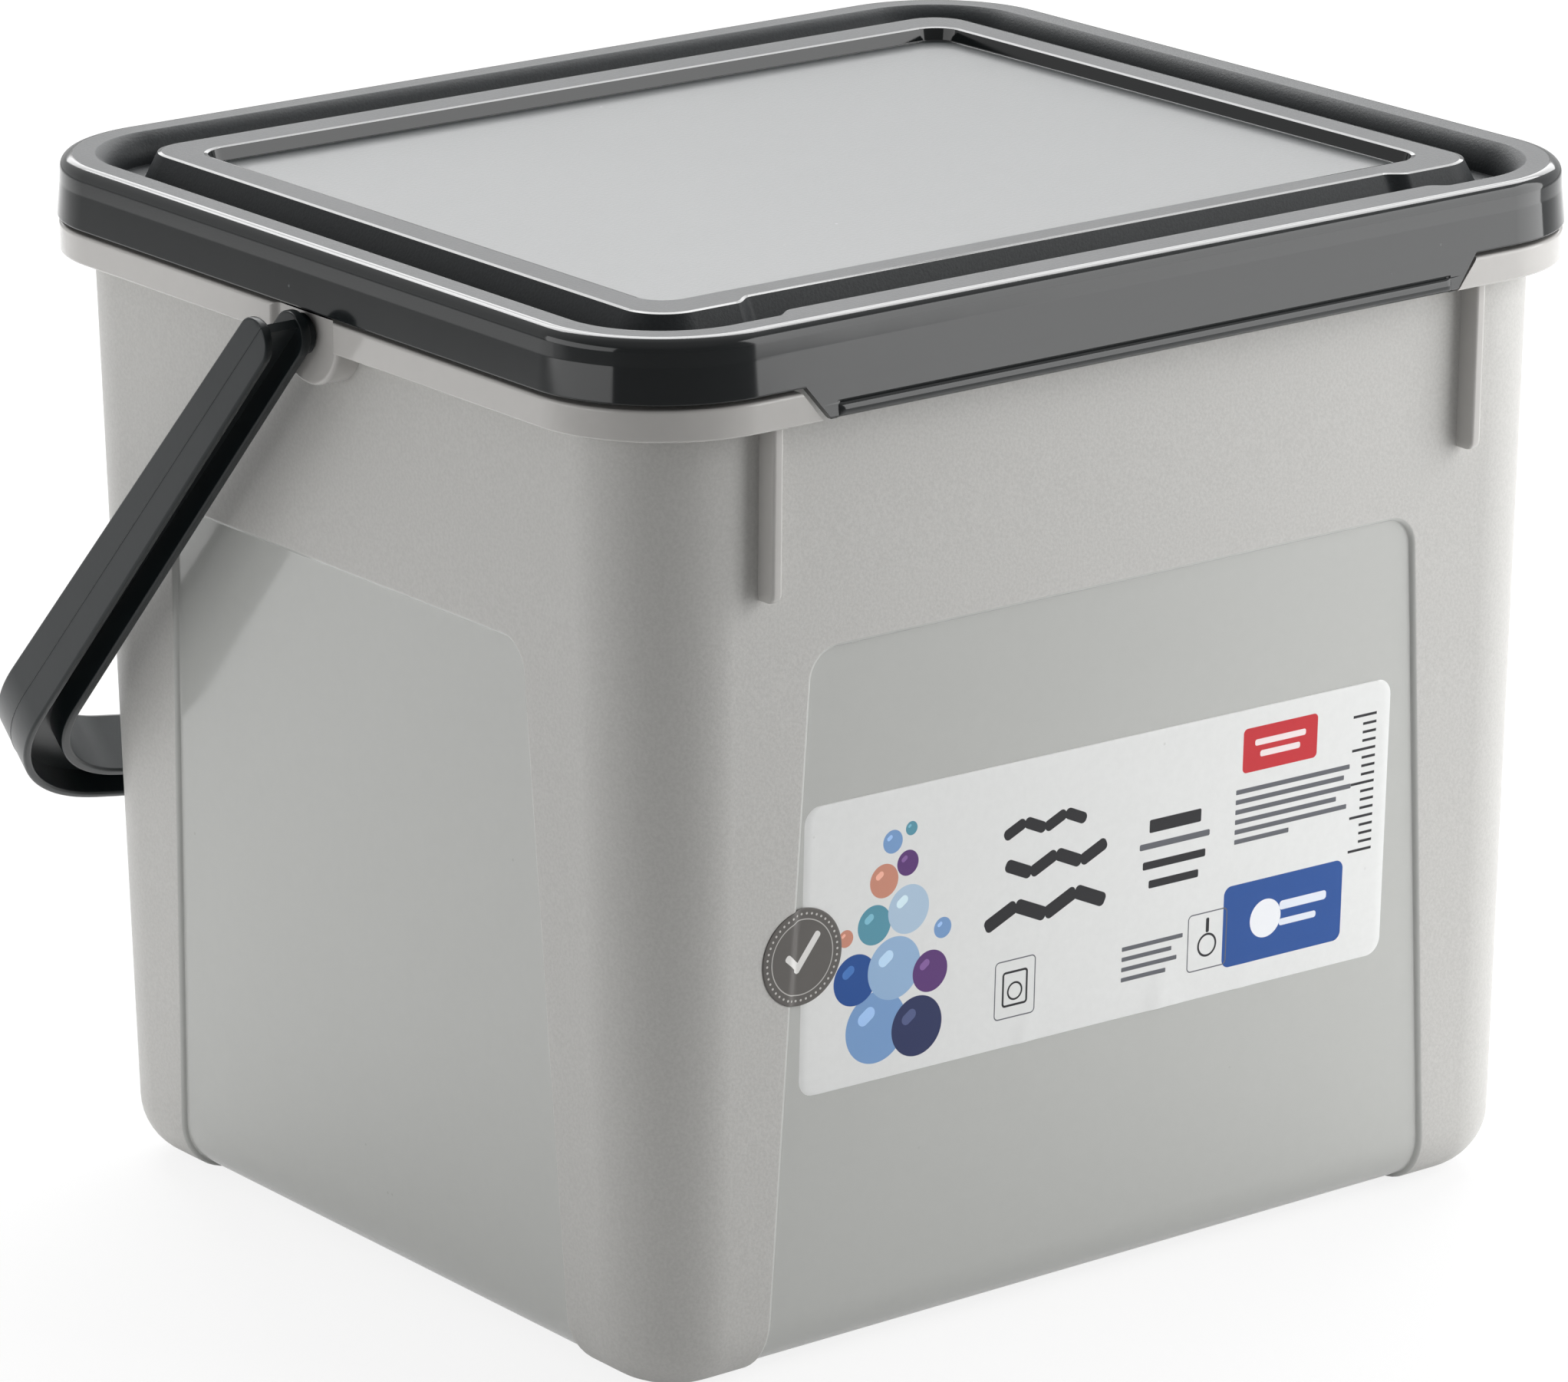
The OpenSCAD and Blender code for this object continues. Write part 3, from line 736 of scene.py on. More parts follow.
@dataclass
class Lid:
    """The lid: skirt, rim, groove, plateau, sunk panel, grip tab and press ring."""

    shell: Shell
    top: float = 180.0
    thick: float = 1.6
    skirt_low: float = 169.6
    skirt_out: float = 24.87
    skirt_slope: float = 5.5
    band_low: float = 175.6
    band_slope: float = 2.1
    edge_radius: float = 2.8
    rim_width: float = 6.7
    groove_width: float = 10.7
    groove_depth: float = 5.2
    outer_run: float = 2.9
    inner_run: float = 2.7
    outer_turn: float = 60.0
    step_back: float = 2.2
    step_half: float = 70.0
    step_run: float = 3.2
    panel_half: Flat = (80.0, 65.0)
    panel_radius: float = 4.5
    panel_sink: float = 2.4
    panel_bevel: float = 0.5
    lip_drop: float = 0.14
    plug_gap: float = 0.35
    seat_gap: float = 0.3
    ring_gap: float = 0.3
    ring_thick: float = 1.2
    ring_drop: float = 4.0
    bead_out: float = 1.1
    wall: float = 1.4
    tab_half_low: float = 65.4
    tab_drop: float = 5.7
    tab_flare: float = 4.6
    tab_bead: float = 1.3
    tab_bead_out: float = 0.45
    tab_bead_in: float = 2.4
    tab_line: float = 0.45
    tab_lap: float = 0.31
    bead_start: float = 67.0

    def skirt_at(self, up: float) -> float:
        """Distance out of the skirt and the grip tab at a height."""
        return self.skirt_out - math.tan(math.radians(self.skirt_slope)) * (up - self.skirt_low)

    def tab_half(self, up: float) -> float:
        """Half the width of the grip tab at a height."""
        risen = up - self.skirt_low + self.tab_drop
        return self.tab_half_low + self.tab_flare * risen / self.tab_drop

    def step_at(self, stop: Stop) -> float:
        """How far the groove is set back at a stop."""
        if stop.along is None or stop.angle != -90:
            return 0.0
        soft = 0.35
        risen = self.step_half + soft - abs(stop.along)
        return self.step_back * smooth_step(risen / (self.step_run + 2 * soft))

    def underside(self, plateau: float) -> tuple[list[Knot], list[Knot]]:
        """Section of the underside, from the middle out to the skirt's lower edge.

        Args:
            plateau: Distance out of the plateau's edge.

        Returns:
            The points that follow the sunk panel, and those that follow the wall.
        """
        gloss, satin = LidSkin.GLOSS, LidSkin.SATIN
        under, rise = self.top - self.thick, self.shell.height
        trough = self.top - self.groove_depth - self.thick
        sunk = self.top - self.panel_sink - self.thick
        shoulder, ring_low = rise + self.seat_gap, rise - self.ring_drop
        ring_in = self.shell.out_at(rise) + self.bead_out + self.ring_gap
        ring_out = ring_in + self.ring_thick
        plug = self.shell.out_at(ring_low, self.wall) - self.plug_gap
        slant = self.inner_run / self.groove_depth
        slope_in = plateau - self.thick * math.hypot(1, slant)
        slant_wall = self.thick / math.cos(math.radians(self.skirt_slope))
        pan = self.panel_radius + self.thick
        panel = [
            Knot(pan - 1.5, sunk, 0, satin),
            Knot(pan, sunk, 0.4, satin),
            Knot(pan, under, 0.4, satin),
        ]
        wall = [
            Knot(pan, under, 0, satin),
            Knot(slope_in, under, 0, satin),
            Knot(slope_in + slant * (under - trough), trough, 0.4, satin),
            Knot(plug, trough, 0.4, satin),
            Knot(plug, shoulder, 0.2, satin),
            Knot(ring_in, shoulder, 0.2, satin),
            Knot(ring_in, ring_low, 0.3, satin),
            Knot(ring_out, ring_low, 0.3, satin),
            Knot(ring_out, under, 0.3, satin),
            Knot(self.skirt_at(under) - slant_wall, under, 0.4, satin),
            Knot(self.skirt_out - slant_wall, self.skirt_low, 0.25, gloss),
            Knot(self.skirt_out, self.skirt_low, 0.3, gloss),
            Knot(self.skirt_at(175), 175),
        ]
        return trace(panel), trace(wall)[1:-1]

    def skirt_edge(self, crest: float) -> list[Knot]:
        """Section up the skirt and over its edge, where the satin of the rim begins."""
        gloss, satin = LidSkin.GLOSS, LidSkin.SATIN
        band = self.skirt_at(self.band_low)
        band_run = math.tan(math.radians(self.band_slope)) * (self.top - self.band_low)
        edge = trace(
            [
                Knot(self.skirt_out, self.skirt_low, 0, gloss),
                Knot(band, self.band_low, 6.0, gloss),
                Knot(band - band_run, self.top, self.edge_radius, satin),
                Knot(crest + 0.8, self.top, 0, satin),
            ],
            steps=12,
        )[1:-1]
        return [Knot(knot.out, knot.up, 0, gloss) for knot in edge[:-1]] + [edge[-1]]

    def groove(self, crest: float, plateau: float) -> list[Knot]:
        """Section from the rim down through the groove and up to the plateau.

        Args:
            crest: Distance out of the rim's inner edge.
            plateau: Distance out of the plateau's edge.

        Returns:
            The section's points.
        """
        gloss, satin = LidSkin.GLOSS, LidSkin.SATIN
        top, floor = self.top, self.top - self.groove_depth
        turn = math.radians(self.outer_turn)
        bend = self.outer_run / (1 - math.cos(turn))
        foot = crest - self.outer_run
        turns = [turn * step / 8 for step in range(8)]
        side = [
            Knot(
                foot + bend * (1 - math.cos(part)),
                top - bend * math.sin(turn) + bend * math.sin(part),
                0.0,
                satin,
            )
            for part in turns
        ]
        roll = [Knot(crest + 2.0, top, 0, satin), Knot(crest, top, 0.55, satin), side[-1]]
        inner = [
            side[0],
            Knot(foot, floor, 0.9, satin),
            Knot(plateau + self.inner_run, floor, 0.7, satin),
            Knot(plateau + self.lip_drop, top - self.lip_drop, 0.12, gloss),
            Knot(plateau - 0.55, top, 0.3, satin),
            Knot(plateau - 2.0, top, 0, satin),
        ]
        return [*trace(roll)[1:-1], *reversed(side), *trace(inner)[1:-1]]

    def sunk_edge(self) -> list[Knot]:
        """Section over the sunk panel's edge, with its polished lip."""
        gloss, panel = LidSkin.GLOSS, LidSkin.PANEL
        top, low, radius = self.top, self.top - self.panel_sink, self.panel_radius
        return trace(
            [
                Knot(radius + 1.9, top, 0, LidSkin.SATIN),
                Knot(radius + self.panel_bevel + 0.7, top, 0.3, gloss),
                Knot(radius + self.panel_bevel, top - self.lip_drop, 0.12, gloss),
                Knot(radius, low, 0.3, panel),
                Knot(radius - 1.2, low, 0, panel),
            ]
        )[1:]

    def section(self, back: float) -> tuple[list[Knot], list[bool]]:
        """Section of the lid at a stop where the groove is set back.

        Args:
            back: How far the groove is set back.

        Returns:
            The section's points from the middle of the underside round to the
            middle of the top, and for each whether it belongs to the panel.
        """
        crest = self.skirt_out - self.rim_width - back
        plateau = crest - self.groove_width
        under, wall = self.underside(plateau)
        middle = [*wall, *self.skirt_edge(crest), *self.groove(crest, plateau)]
        sunk = self.sunk_edge()
        own = [True] * len(under) + [False] * len(middle) + [True] * len(sunk)
        return [*under, *middle, *sunk], own

    def add_body(self, mesh: Moulding) -> None:
        """Adds the lid without its grip tab."""
        reach = self.step_half + 0.5
        ramp = [reach - (self.step_run + 1.0) * step / 10 for step in range(11)]
        front = [sign * place for place in ramp for sign in (-1, 1)]
        own_half = (
            self.panel_half[0] - self.panel_radius,
            self.panel_half[1] - self.panel_radius,
        )
        rows = []
        points: list[Knot] = []
        for stop in way_round(front=front):
            points, own = self.section(self.step_at(stop))
            rows.append(
                [
                    stop.at(own_half if mine else self.shell.half, k.out, k.up)
                    for k, mine in zip(points, own)
                ]
            )
        numbers = mesh.sheet(rows, [knot.skin for knot in points], closed_way=True)
        mesh.cap([row[-1] for row in numbers], LidSkin.PANEL)
        mesh.cap([row[0] for row in reversed(numbers)], LidSkin.SATIN)

    def add_tab(self, mesh: Moulding) -> None:
        """Adds the grip tab with the bead along its lower edge."""
        low = self.skirt_low - self.tab_drop
        wall = self.thick / math.cos(math.radians(self.skirt_slope))
        bead_up = low + self.tab_bead
        bead_out = self.skirt_at(bead_up) + self.tab_bead_out - self.tab_bead
        start = self.bead_start
        line_up = bead_up + self.tab_bead * math.sin(math.radians(start))
        root = self.skirt_low + self.tab_lap
        bead_half = self.tab_half_low - self.tab_bead_in
        face: list[tuple[float, float, float]] = [
            (self.skirt_at(up), up, 0.0) for up in (root, line_up + 1.4, line_up + 0.6)
        ]
        for step in range(5):
            turn = math.pi / 2 * step / 5
            up = line_up + self.tab_line * math.cos(turn)
            face.append((self.skirt_at(up), up, -0.75 * self.tab_line * math.sin(turn)))
        for step in range(13):
            turn = math.radians(start - (90 + start) * step / 12)
            up = bead_up + self.tab_bead * math.sin(turn)
            plain = self.skirt_at(up)
            soft = smooth_step((low + 0.5 - up) / 0.5)
            flat = plain - 0.5 * soft
            face.append((flat, up, bead_out + self.tab_bead * math.cos(turn) - flat))
        rear = [
            (self.skirt_at(low) - wall + 0.3, low, 0.0),
            (self.skirt_at(low) - wall, low + 0.3, 0.0),
            (self.skirt_out - wall, root, 0.0),
        ]
        outline = [*reversed(rear), *reversed(face)]
        taper = self.tab_bead * 0.9
        ends = [bead_half + taper * part for part in (1.0, 0.92, 0.75, 0.5, 0.25, 0)]
        rows = [self.tab_row(outline, share, 0.0) for share in (-1.0, -0.9994)]
        for x in [-x for x in ends] + ends[::-1]:
            beyond = max(abs(x) - bead_half, 0.0) / taper
            rows.append(self.tab_row(outline, x, math.sqrt(max(1 - beyond * beyond, 0.0))))
        rows += [self.tab_row(outline, share, 0.0) for share in (0.9994, 1.0)]
        mesh.bar(rows, LidSkin.GLOSS)

    def tab_row(
        self, outline: Sequence[tuple[float, float, float]], place: float, amount: float
    ) -> list[Vector]:
        """A row of the grip tab.

        Args:
            outline: Distance out, height and relief of each point.
            place: Place along X, or a share of the tab's half width up to 1.
            amount: Share of the relief that shows here.

        Returns:
            The row's points.
        """
        row = []
        for out, up, relief in outline:
            x = place * self.tab_half(up) if abs(place) <= 1 else place
            row.append(Vector((x, -(self.shell.half[1] + out + relief * amount), up)))
        return row

    def make(self, materials: Sequence[bpy.types.Material]) -> bpy.types.Object:
        """Builds the lid with materials in the order of LidSkin."""
        mesh = Moulding()
        self.add_body(mesh)
        self.add_tab(mesh)
        return mesh.piece("lid_moulding", materials)


# The handle


@dataclass
class Handle:
    """The bail: an H section carried along two arms, two bends and a bowed bar."""

    outer: float = 113.47
    depth: float = 8.9
    arm: float = 106.17
    bend: float = 35.5
    bow: float = 16.6
    half_pivot: float = 4.2
    half_bar: float = 5.95
    flange_out: float = 1.5
    flange_in: float = 1.8
    web: float = 1.6
    web_back: float = 3.6
    hang: float = 46.5
    pivot_up: float = 165.3
    boss_radius: float = 3.4
    pin_radius: float = 2.6
    boss_from: float = 102.97
    pin_from: float = 98.77
    seam: float = 0.13
    tip_steps: int = 14
    arm_steps: int = 8
    bend_steps: int = 28
    bar_steps: int = 16

    @property
    def bar(self) -> tuple[float, float]:
        """Radius of the bowed bar and the place of its centre."""
        lean = math.radians(self.bow)
        radius = (self.outer - self.bend * (1 - math.sin(lean))) / math.sin(lean)
        return radius, self.arm + self.bend * math.cos(lean) - radius * math.cos(lean)

    def half_at(self, y: float) -> float:
        """Half the height of the handle at a distance from the pivot."""
        reach = self.arm + self.bend
        return self.half_pivot + (self.half_bar - self.half_pivot) * min(y / reach, 1.0)

    def stations(self) -> list[tuple[Vector, Vector, float]]:
        """Stops along the right half of the handle, from the pivot outwards.

        Returns:
            For each stop its place on the outer edge, the direction inwards
            and half the height of the flanges.
        """
        radius, centre = self.bar
        inward = Vector((-1, 0, 0))
        made = []
        for step in range(self.tip_steps + 1):
            turn = math.radians(89 * (1 - step / self.tip_steps))
            y, rise = -self.half_pivot * math.sin(turn), self.half_pivot * math.cos(turn)
            made.append((Vector((self.outer, y, 0)), inward, rise))
        for step in range(1, self.arm_steps + 1):
            y = self.arm * step / self.arm_steps
            made.append((Vector((self.outer, y, 0)), inward, self.half_at(y)))
        for step in range(1, self.bend_steps + 1):
            turn = math.radians((90 - self.bow) * step / self.bend_steps)
            out = Vector((math.cos(turn), math.sin(turn), 0))
            foot = Vector((self.outer - self.bend, self.arm, 0)) + out * self.bend
            made.append((foot, -out, self.half_at(foot.y)))
        for step in range(1, self.bar_steps + 1):
            turn = math.radians(90 - self.bow + self.bow * step / self.bar_steps)
            out = Vector((math.cos(turn), math.sin(turn), 0))
            foot = Vector((0, centre, 0)) + out * radius
            made.append((foot, -out, self.half_bar))
        return made

    def flange(self, near: float, far: float, half: float) -> list[Knot]:
        """Section of a flange, with the parting line along the outermost face."""
        tip = min(0.5, half * 0.4)
        outline = [Knot(far, half, tip), Knot(far, -half, tip), Knot(near, -half, tip)]
        if near == 0 and half > 2 * self.seam:
            outline += [Knot(0.0, -self.seam), Knot(-0.09, 0.0), Knot(0.0, self.seam)]
        elif near == 0:
            outline += [Knot(0.0, half * share) for share in (-0.2, 0.0, 0.2)]
        return trace([*outline, Knot(near, half, tip)], closed=True)

    def add_run(
        self, mesh: Moulding, rows: Sequence[tuple[Vector, Vector, Sequence[Knot]]]
    ) -> None:
        """Adds a closed run of sections along both halves of the handle.

        Args:
            mesh: The mesh to add to.
            rows: For each stop of the right half its place, the direction
                inwards and the section.
        """
        right = [
            [foot + way * knot.out + Vector((0, 0, knot.up)) for knot in section]
            for foot, way, section in rows
        ]
        left = [[Vector((-p.x, p.y, p.z)) for p in row] for row in reversed(right[:-1])]
        numbers = mesh.sheet([*right, *left], closed_section=True)
        mesh.cap(numbers[0], 0)
        mesh.cap(numbers[-1][::-1], 0)

    def make(self, materials: Sequence[bpy.types.Material]) -> bpy.types.Object:
        """Builds the handle in its hanging place."""
        mesh = Moulding()
        stations = self.stations()
        inner = self.depth - self.flange_in
        for near, far in ((0.0, self.flange_out), (inner, self.depth)):
            run = [(foot, way, self.flange(near, far, half)) for foot, way, half in stations]
            self.add_run(mesh, run)
        web = [
            Knot(inner + 0.4, self.web / 2),
            Knot(inner + 0.4, -self.web / 2),
            Knot(self.flange_out - 0.4, -self.web / 2),
            Knot(self.flange_out - 0.4, self.web / 2),
        ]
        end = Vector((self.outer, -self.web_back, 0))
        spans = [(foot, way, web) for foot, way, _ in stations if foot.y > -self.web_back]
        self.add_run(mesh, [(end, Vector((-1, 0, 0)), web), *spans])
        arm_face = self.outer - self.depth
        for sign in (-1, 1):
            rod(mesh, sign * (arm_face + 0.9), sign * self.boss_from, self.boss_radius, 0.3)
            rod(mesh, sign * (arm_face + 0.9), sign * self.pin_from, self.pin_radius, 0.5)
        hang = Matrix.Rotation(math.radians(-self.hang), 4, "X")
        lift = Vector((0, 0, self.pivot_up))
        mesh.points = [hang @ point + lift for point in mesh.points]
        return mesh.piece("bail_handle", materials, turn_out=True)


# Label and seal


def film_piece(
    name: str,
    mesh: Moulding,
    plane: Sequence[Flat],
    material: bpy.types.Material,
    weld: bool = False,
) -> bpy.types.Object:
    """Makes a piece of printed film.

    Args:
        name: Name of the piece.
        mesh: Its points and faces.
        plane: Place of each point on the print, in millimetres.
        material: The printed film.
        weld: Whether points that meet are joined and faces turned outwards.

    Returns:
        The object, with the print's plane as its UV map.
    """
    data = bpy.data.meshes.new(name)
    data.from_pydata([point * MM for point in mesh.points], [], mesh.faces)
    layer = data.uv_layers.new(name=PRINT_PLANE)
    for loop in data.loops:
        layer.data[loop.index].uv = plane[loop.vertex_index]
    if weld:
        tidy = bmesh.new()
        tidy.from_mesh(data)
        bmesh.ops.remove_doubles(tidy, verts=tidy.verts, dist=WELD)
        bmesh.ops.recalc_face_normals(tidy, faces=tidy.faces)
        tidy.to_mesh(data)
        tidy.free()
    for polygon in data.polygons:
        polygon.use_smooth = True
    data.materials.append(material)
    return linked(name, data)


@dataclass
class Label:
    """The white film label on the front panel, with its generic print.

    A wrinkle has its place along the label, its width, its height and how far
    up the film it runs out.
    """

    shell: Shell
    width: float = 124.9
    height: float = 49.4
    centre: Flat = (-2.1, 71.9)
    tilt: float = 0.75
    radius: float = 3.0
    sunk: float = 0.8
    thick: float = 0.15
    wrinkles: Sequence[tuple[float, float, float, float]] = (
        (-16.0, 1.6, 0.16, 5.0),
        (12.6, 2.2, 0.24, 6.5),
        (16.5, 1.3, 0.14, 4.0),
        (31.0, 1.8, 0.12, 4.5),
    )
    columns: int = 150
    corner_rows: int = 8
    middle_rows: int = 44

    def half_at(self, up: float) -> float:
        """Half the width at a height above the label's middle."""
        over = abs(up) - (self.height / 2 - self.radius)
        if over <= 0:
            return self.width / 2
        return self.width / 2 - self.radius + math.sqrt(max(self.radius**2 - over**2, 0.0))

    def heights(self) -> list[float]:
        """Heights of the rows above the label's middle."""
        straight = self.height / 2 - self.radius
        corner = [
            straight + self.radius * math.sin(math.pi / 2 * step / self.corner_rows)
            for step in range(1, self.corner_rows + 1)
        ]
        middle = [
            -straight + 2 * straight * step / self.middle_rows
            for step in range(self.middle_rows + 1)
        ]
        return [-up for up in reversed(corner)] + middle + corner

    def lift(self, x: float, up: float) -> float:
        """How far the film stands off the panel, with slight wrinkles low down."""
        edge = -self.height / 2
        waves = 0.0
        for place, width, height, tall in self.wrinkles:
            rise = math.exp(-(((up - edge) / tall) ** 2))
            waves += height * rise * math.exp(-(((x - place - 0.25 * (up - edge)) / width) ** 2))
        return self.thick + waves

    def make(self, material: bpy.types.Material) -> bpy.types.Object:
        """Builds the label, with its own plane in millimetres as UV map."""
        tilt = math.radians(self.tilt)
        flat: list[Flat] = []
        rows = []
        for up in self.heights():
            half = self.half_at(up)
            row = []
            for column in range(self.columns + 1):
                x = -half + 2 * half * column / self.columns
                inside = 1 if 0 < column < self.columns and abs(up) < self.height / 2 else 0
                lift = self.lift(x, up) if inside else 0.0
                across = x * math.cos(tilt) + up * math.sin(tilt)
                above = up * math.cos(tilt) - x * math.sin(tilt)
                real_up = self.centre[1] + above
                out = self.shell.out_at(real_up, self.sunk - lift)
                row.append(Vector((self.centre[0] + across, -(self.shell.half[1] + out), real_up)))
                flat.append((x, up))
            rows.append(row)
        mesh = Moulding()
        mesh.sheet(rows, flip=True)
        return film_piece("front_label", mesh, flat, material)


@dataclass
class Seal:
    """The small round sticker over the label's left edge."""

    shell: Shell
    panel: Panel
    radius: float = 8.25
    centre: Flat = (-64.85, 72.5)
    on_panel: float = 0.65
    thick: float = 0.15
    edge_drop: float = 0.03
    ramp: float = 1.8
    rings: int = 22
    sides: int = 96

    def make(self, material: bpy.types.Material) -> bpy.types.Object:
        """Builds the seal, which steps up over the edge of the panel."""
        rings = [(self.radius * step / self.rings, self.thick) for step in range(self.rings)]
        rings += [
            (self.radius - 0.06, self.thick),
            (self.radius, self.thick - self.edge_drop),
            (self.radius, 0.0),
        ]
        rows: list[list[Vector]] = []
        flat: list[Flat] = []
        for ring, lift in rings:
            row = []
            for side in range(self.sides):
                turn = math.tau * side / self.sides
                x, up = ring * math.cos(turn), ring * math.sin(turn)
                across, above = self.centre[0] + x, self.centre[1] + up
                inside = across + self.panel.half_at(above)
                sunk = self.on_panel * smooth_step(inside / self.ramp + 0.5)
                out = self.shell.out_at(above, sunk - lift)
                row.append(Vector((across, -(self.shell.half[1] + out), above)))
                flat.append((x, up))
            rows.append(row)
        mesh = Moulding()
        mesh.sheet(rows, closed_section=True)
        return film_piece("round_sticker", mesh, flat, material, weld=True)


# Materials


def linear(red: int, green: int, blue: int) -> tuple[float, float, float, float]:
    """Linear colour of a screen colour given in steps of 0 to 255."""

    def one(step: int) -> float:
        """One channel."""
        value = step / 255
        return value / 12.92 if value <= 0.04045 else ((value + 0.055) / 1.055) ** 2.4

    return one(red), one(green), one(blue), 1.0


Feed = float | bpy.types.NodeSocket


@dataclass
class Bench:
    """A node tree under construction."""

    tree: bpy.types.NodeTree

    def node(self, kind: str, **settings: object) -> bpy.types.Node:
        """Adds a node with some of its properties set."""
        made = self.tree.nodes.new(kind)
        for name, value in settings.items():
            setattr(made, name, value)
        return made

    def feed(self, value: object, socket: bpy.types.NodeSocket) -> None:
        """Links a socket, or sets its value."""
        if isinstance(value, bpy.types.NodeSocket):
            self.tree.links.new(value, socket)
        else:
            socket.default_value = value

    def sum(self, operation: str, *values: Feed, clamp: bool = False) -> bpy.types.NodeSocket:
        """Adds a Math node and returns its result."""
        made = self.node("ShaderNodeMath", operation=operation, use_clamp=clamp)
        for value, socket in zip(values, made.inputs):
            self.feed(value, socket)
        return made.outputs[0]

    def ramp(self, value: Feed, low: float, high: float) -> bpy.types.NodeSocket:
        """Smooth ramp of a value from low (0) to high (1)."""
        made = self.node("ShaderNodeMapRange", interpolation_type="SMOOTHSTEP")
        self.feed(value, made.inputs["Value"])
        made.inputs["From Min"].default_value = low
        made.inputs["From Max"].default_value = high
        return made.outputs[0]

    def blend(self, amount: Feed, first: object, second: object) -> bpy.types.NodeSocket:
        """Mixes two colours."""
        made = self.node("ShaderNodeMix", data_type="RGBA")
        self.feed(amount, made.inputs[0])
        self.feed(first, made.inputs[6])
        self.feed(second, made.inputs[7])
        return made.outputs[2]

    def noise(
        self, place: bpy.types.NodeSocket, scale: Feed, detail: float = 2.0, rough: float = 0.5
    ) -> bpy.types.NodeSocket:
        """Noise at a scale, from 0 to 1."""
        made = self.node("ShaderNodeTexNoise")
        self.feed(place, made.inputs["Vector"])
        self.feed(scale, made.inputs["Scale"])
        made.inputs["Detail"].default_value = detail
        made.inputs["Roughness"].default_value = rough
        return made.outputs["Fac"]

    def group(self, name: str, values: dict[str, Feed]) -> bpy.types.Node:
        """Adds a node of a shared group and feeds its inputs."""
        made = self.node("ShaderNodeGroup", node_tree=bpy.data.node_groups[name])
        for label, value in values.items():
            self.feed(value, made.inputs[label])
        return made

    def bumped(self, height: Feed, strength: float, depth: float) -> bpy.types.NodeSocket:
        """Adds a Bump node and returns its normal."""
        made = self.node("ShaderNodeBump")
        made.inputs["Strength"].default_value = strength
        made.inputs["Distance"].default_value = depth
        self.feed(height, made.inputs["Height"])
        return made.outputs[0]

    def mixed(
        self, share: Feed, first: bpy.types.Node, second: bpy.types.Node
    ) -> bpy.types.NodeSocket:
        """Mixes two shaders."""
        made = self.node("ShaderNodeMixShader")
        for value, socket in zip((share, first.outputs[0], second.outputs[0]), made.inputs):
            self.feed(value, socket)
        return made.outputs[0]

    def rays(self) -> tuple[bpy.types.NodeSocket, bpy.types.NodeSocket]:
        """Shares of rays that see a surface directly, and by a reflection."""
        path = self.node("ShaderNodeLightPath").outputs
        direct = self.sum("ADD", path["Is Camera Ray"], path["Is Transmission Ray"])
        return direct, path["Is Glossy Ray"]

    def show(self, shader: bpy.types.NodeSocket, kind: str = "Material") -> None:
        """Feeds a shader to a new output node of a material or a world."""
        output = self.node(f"ShaderNodeOutput{kind}")
        self.feed(shader, output.inputs["Surface"])


def begin(name: str) -> tuple[bpy.types.Material, Bench]:
    """Begins a material and returns it with its empty bench."""
    material = bpy.data.materials.new(name)
    material.use_nodes = True
    material.node_tree.nodes.clear()
    return material, Bench(material.node_tree)


def shaded(colour: Sequence[float], share: float) -> tuple[float, ...]:
    """A linear colour made darker or lighter."""
    return tuple(channel * share for channel in colour[:3]) + (1.0,)


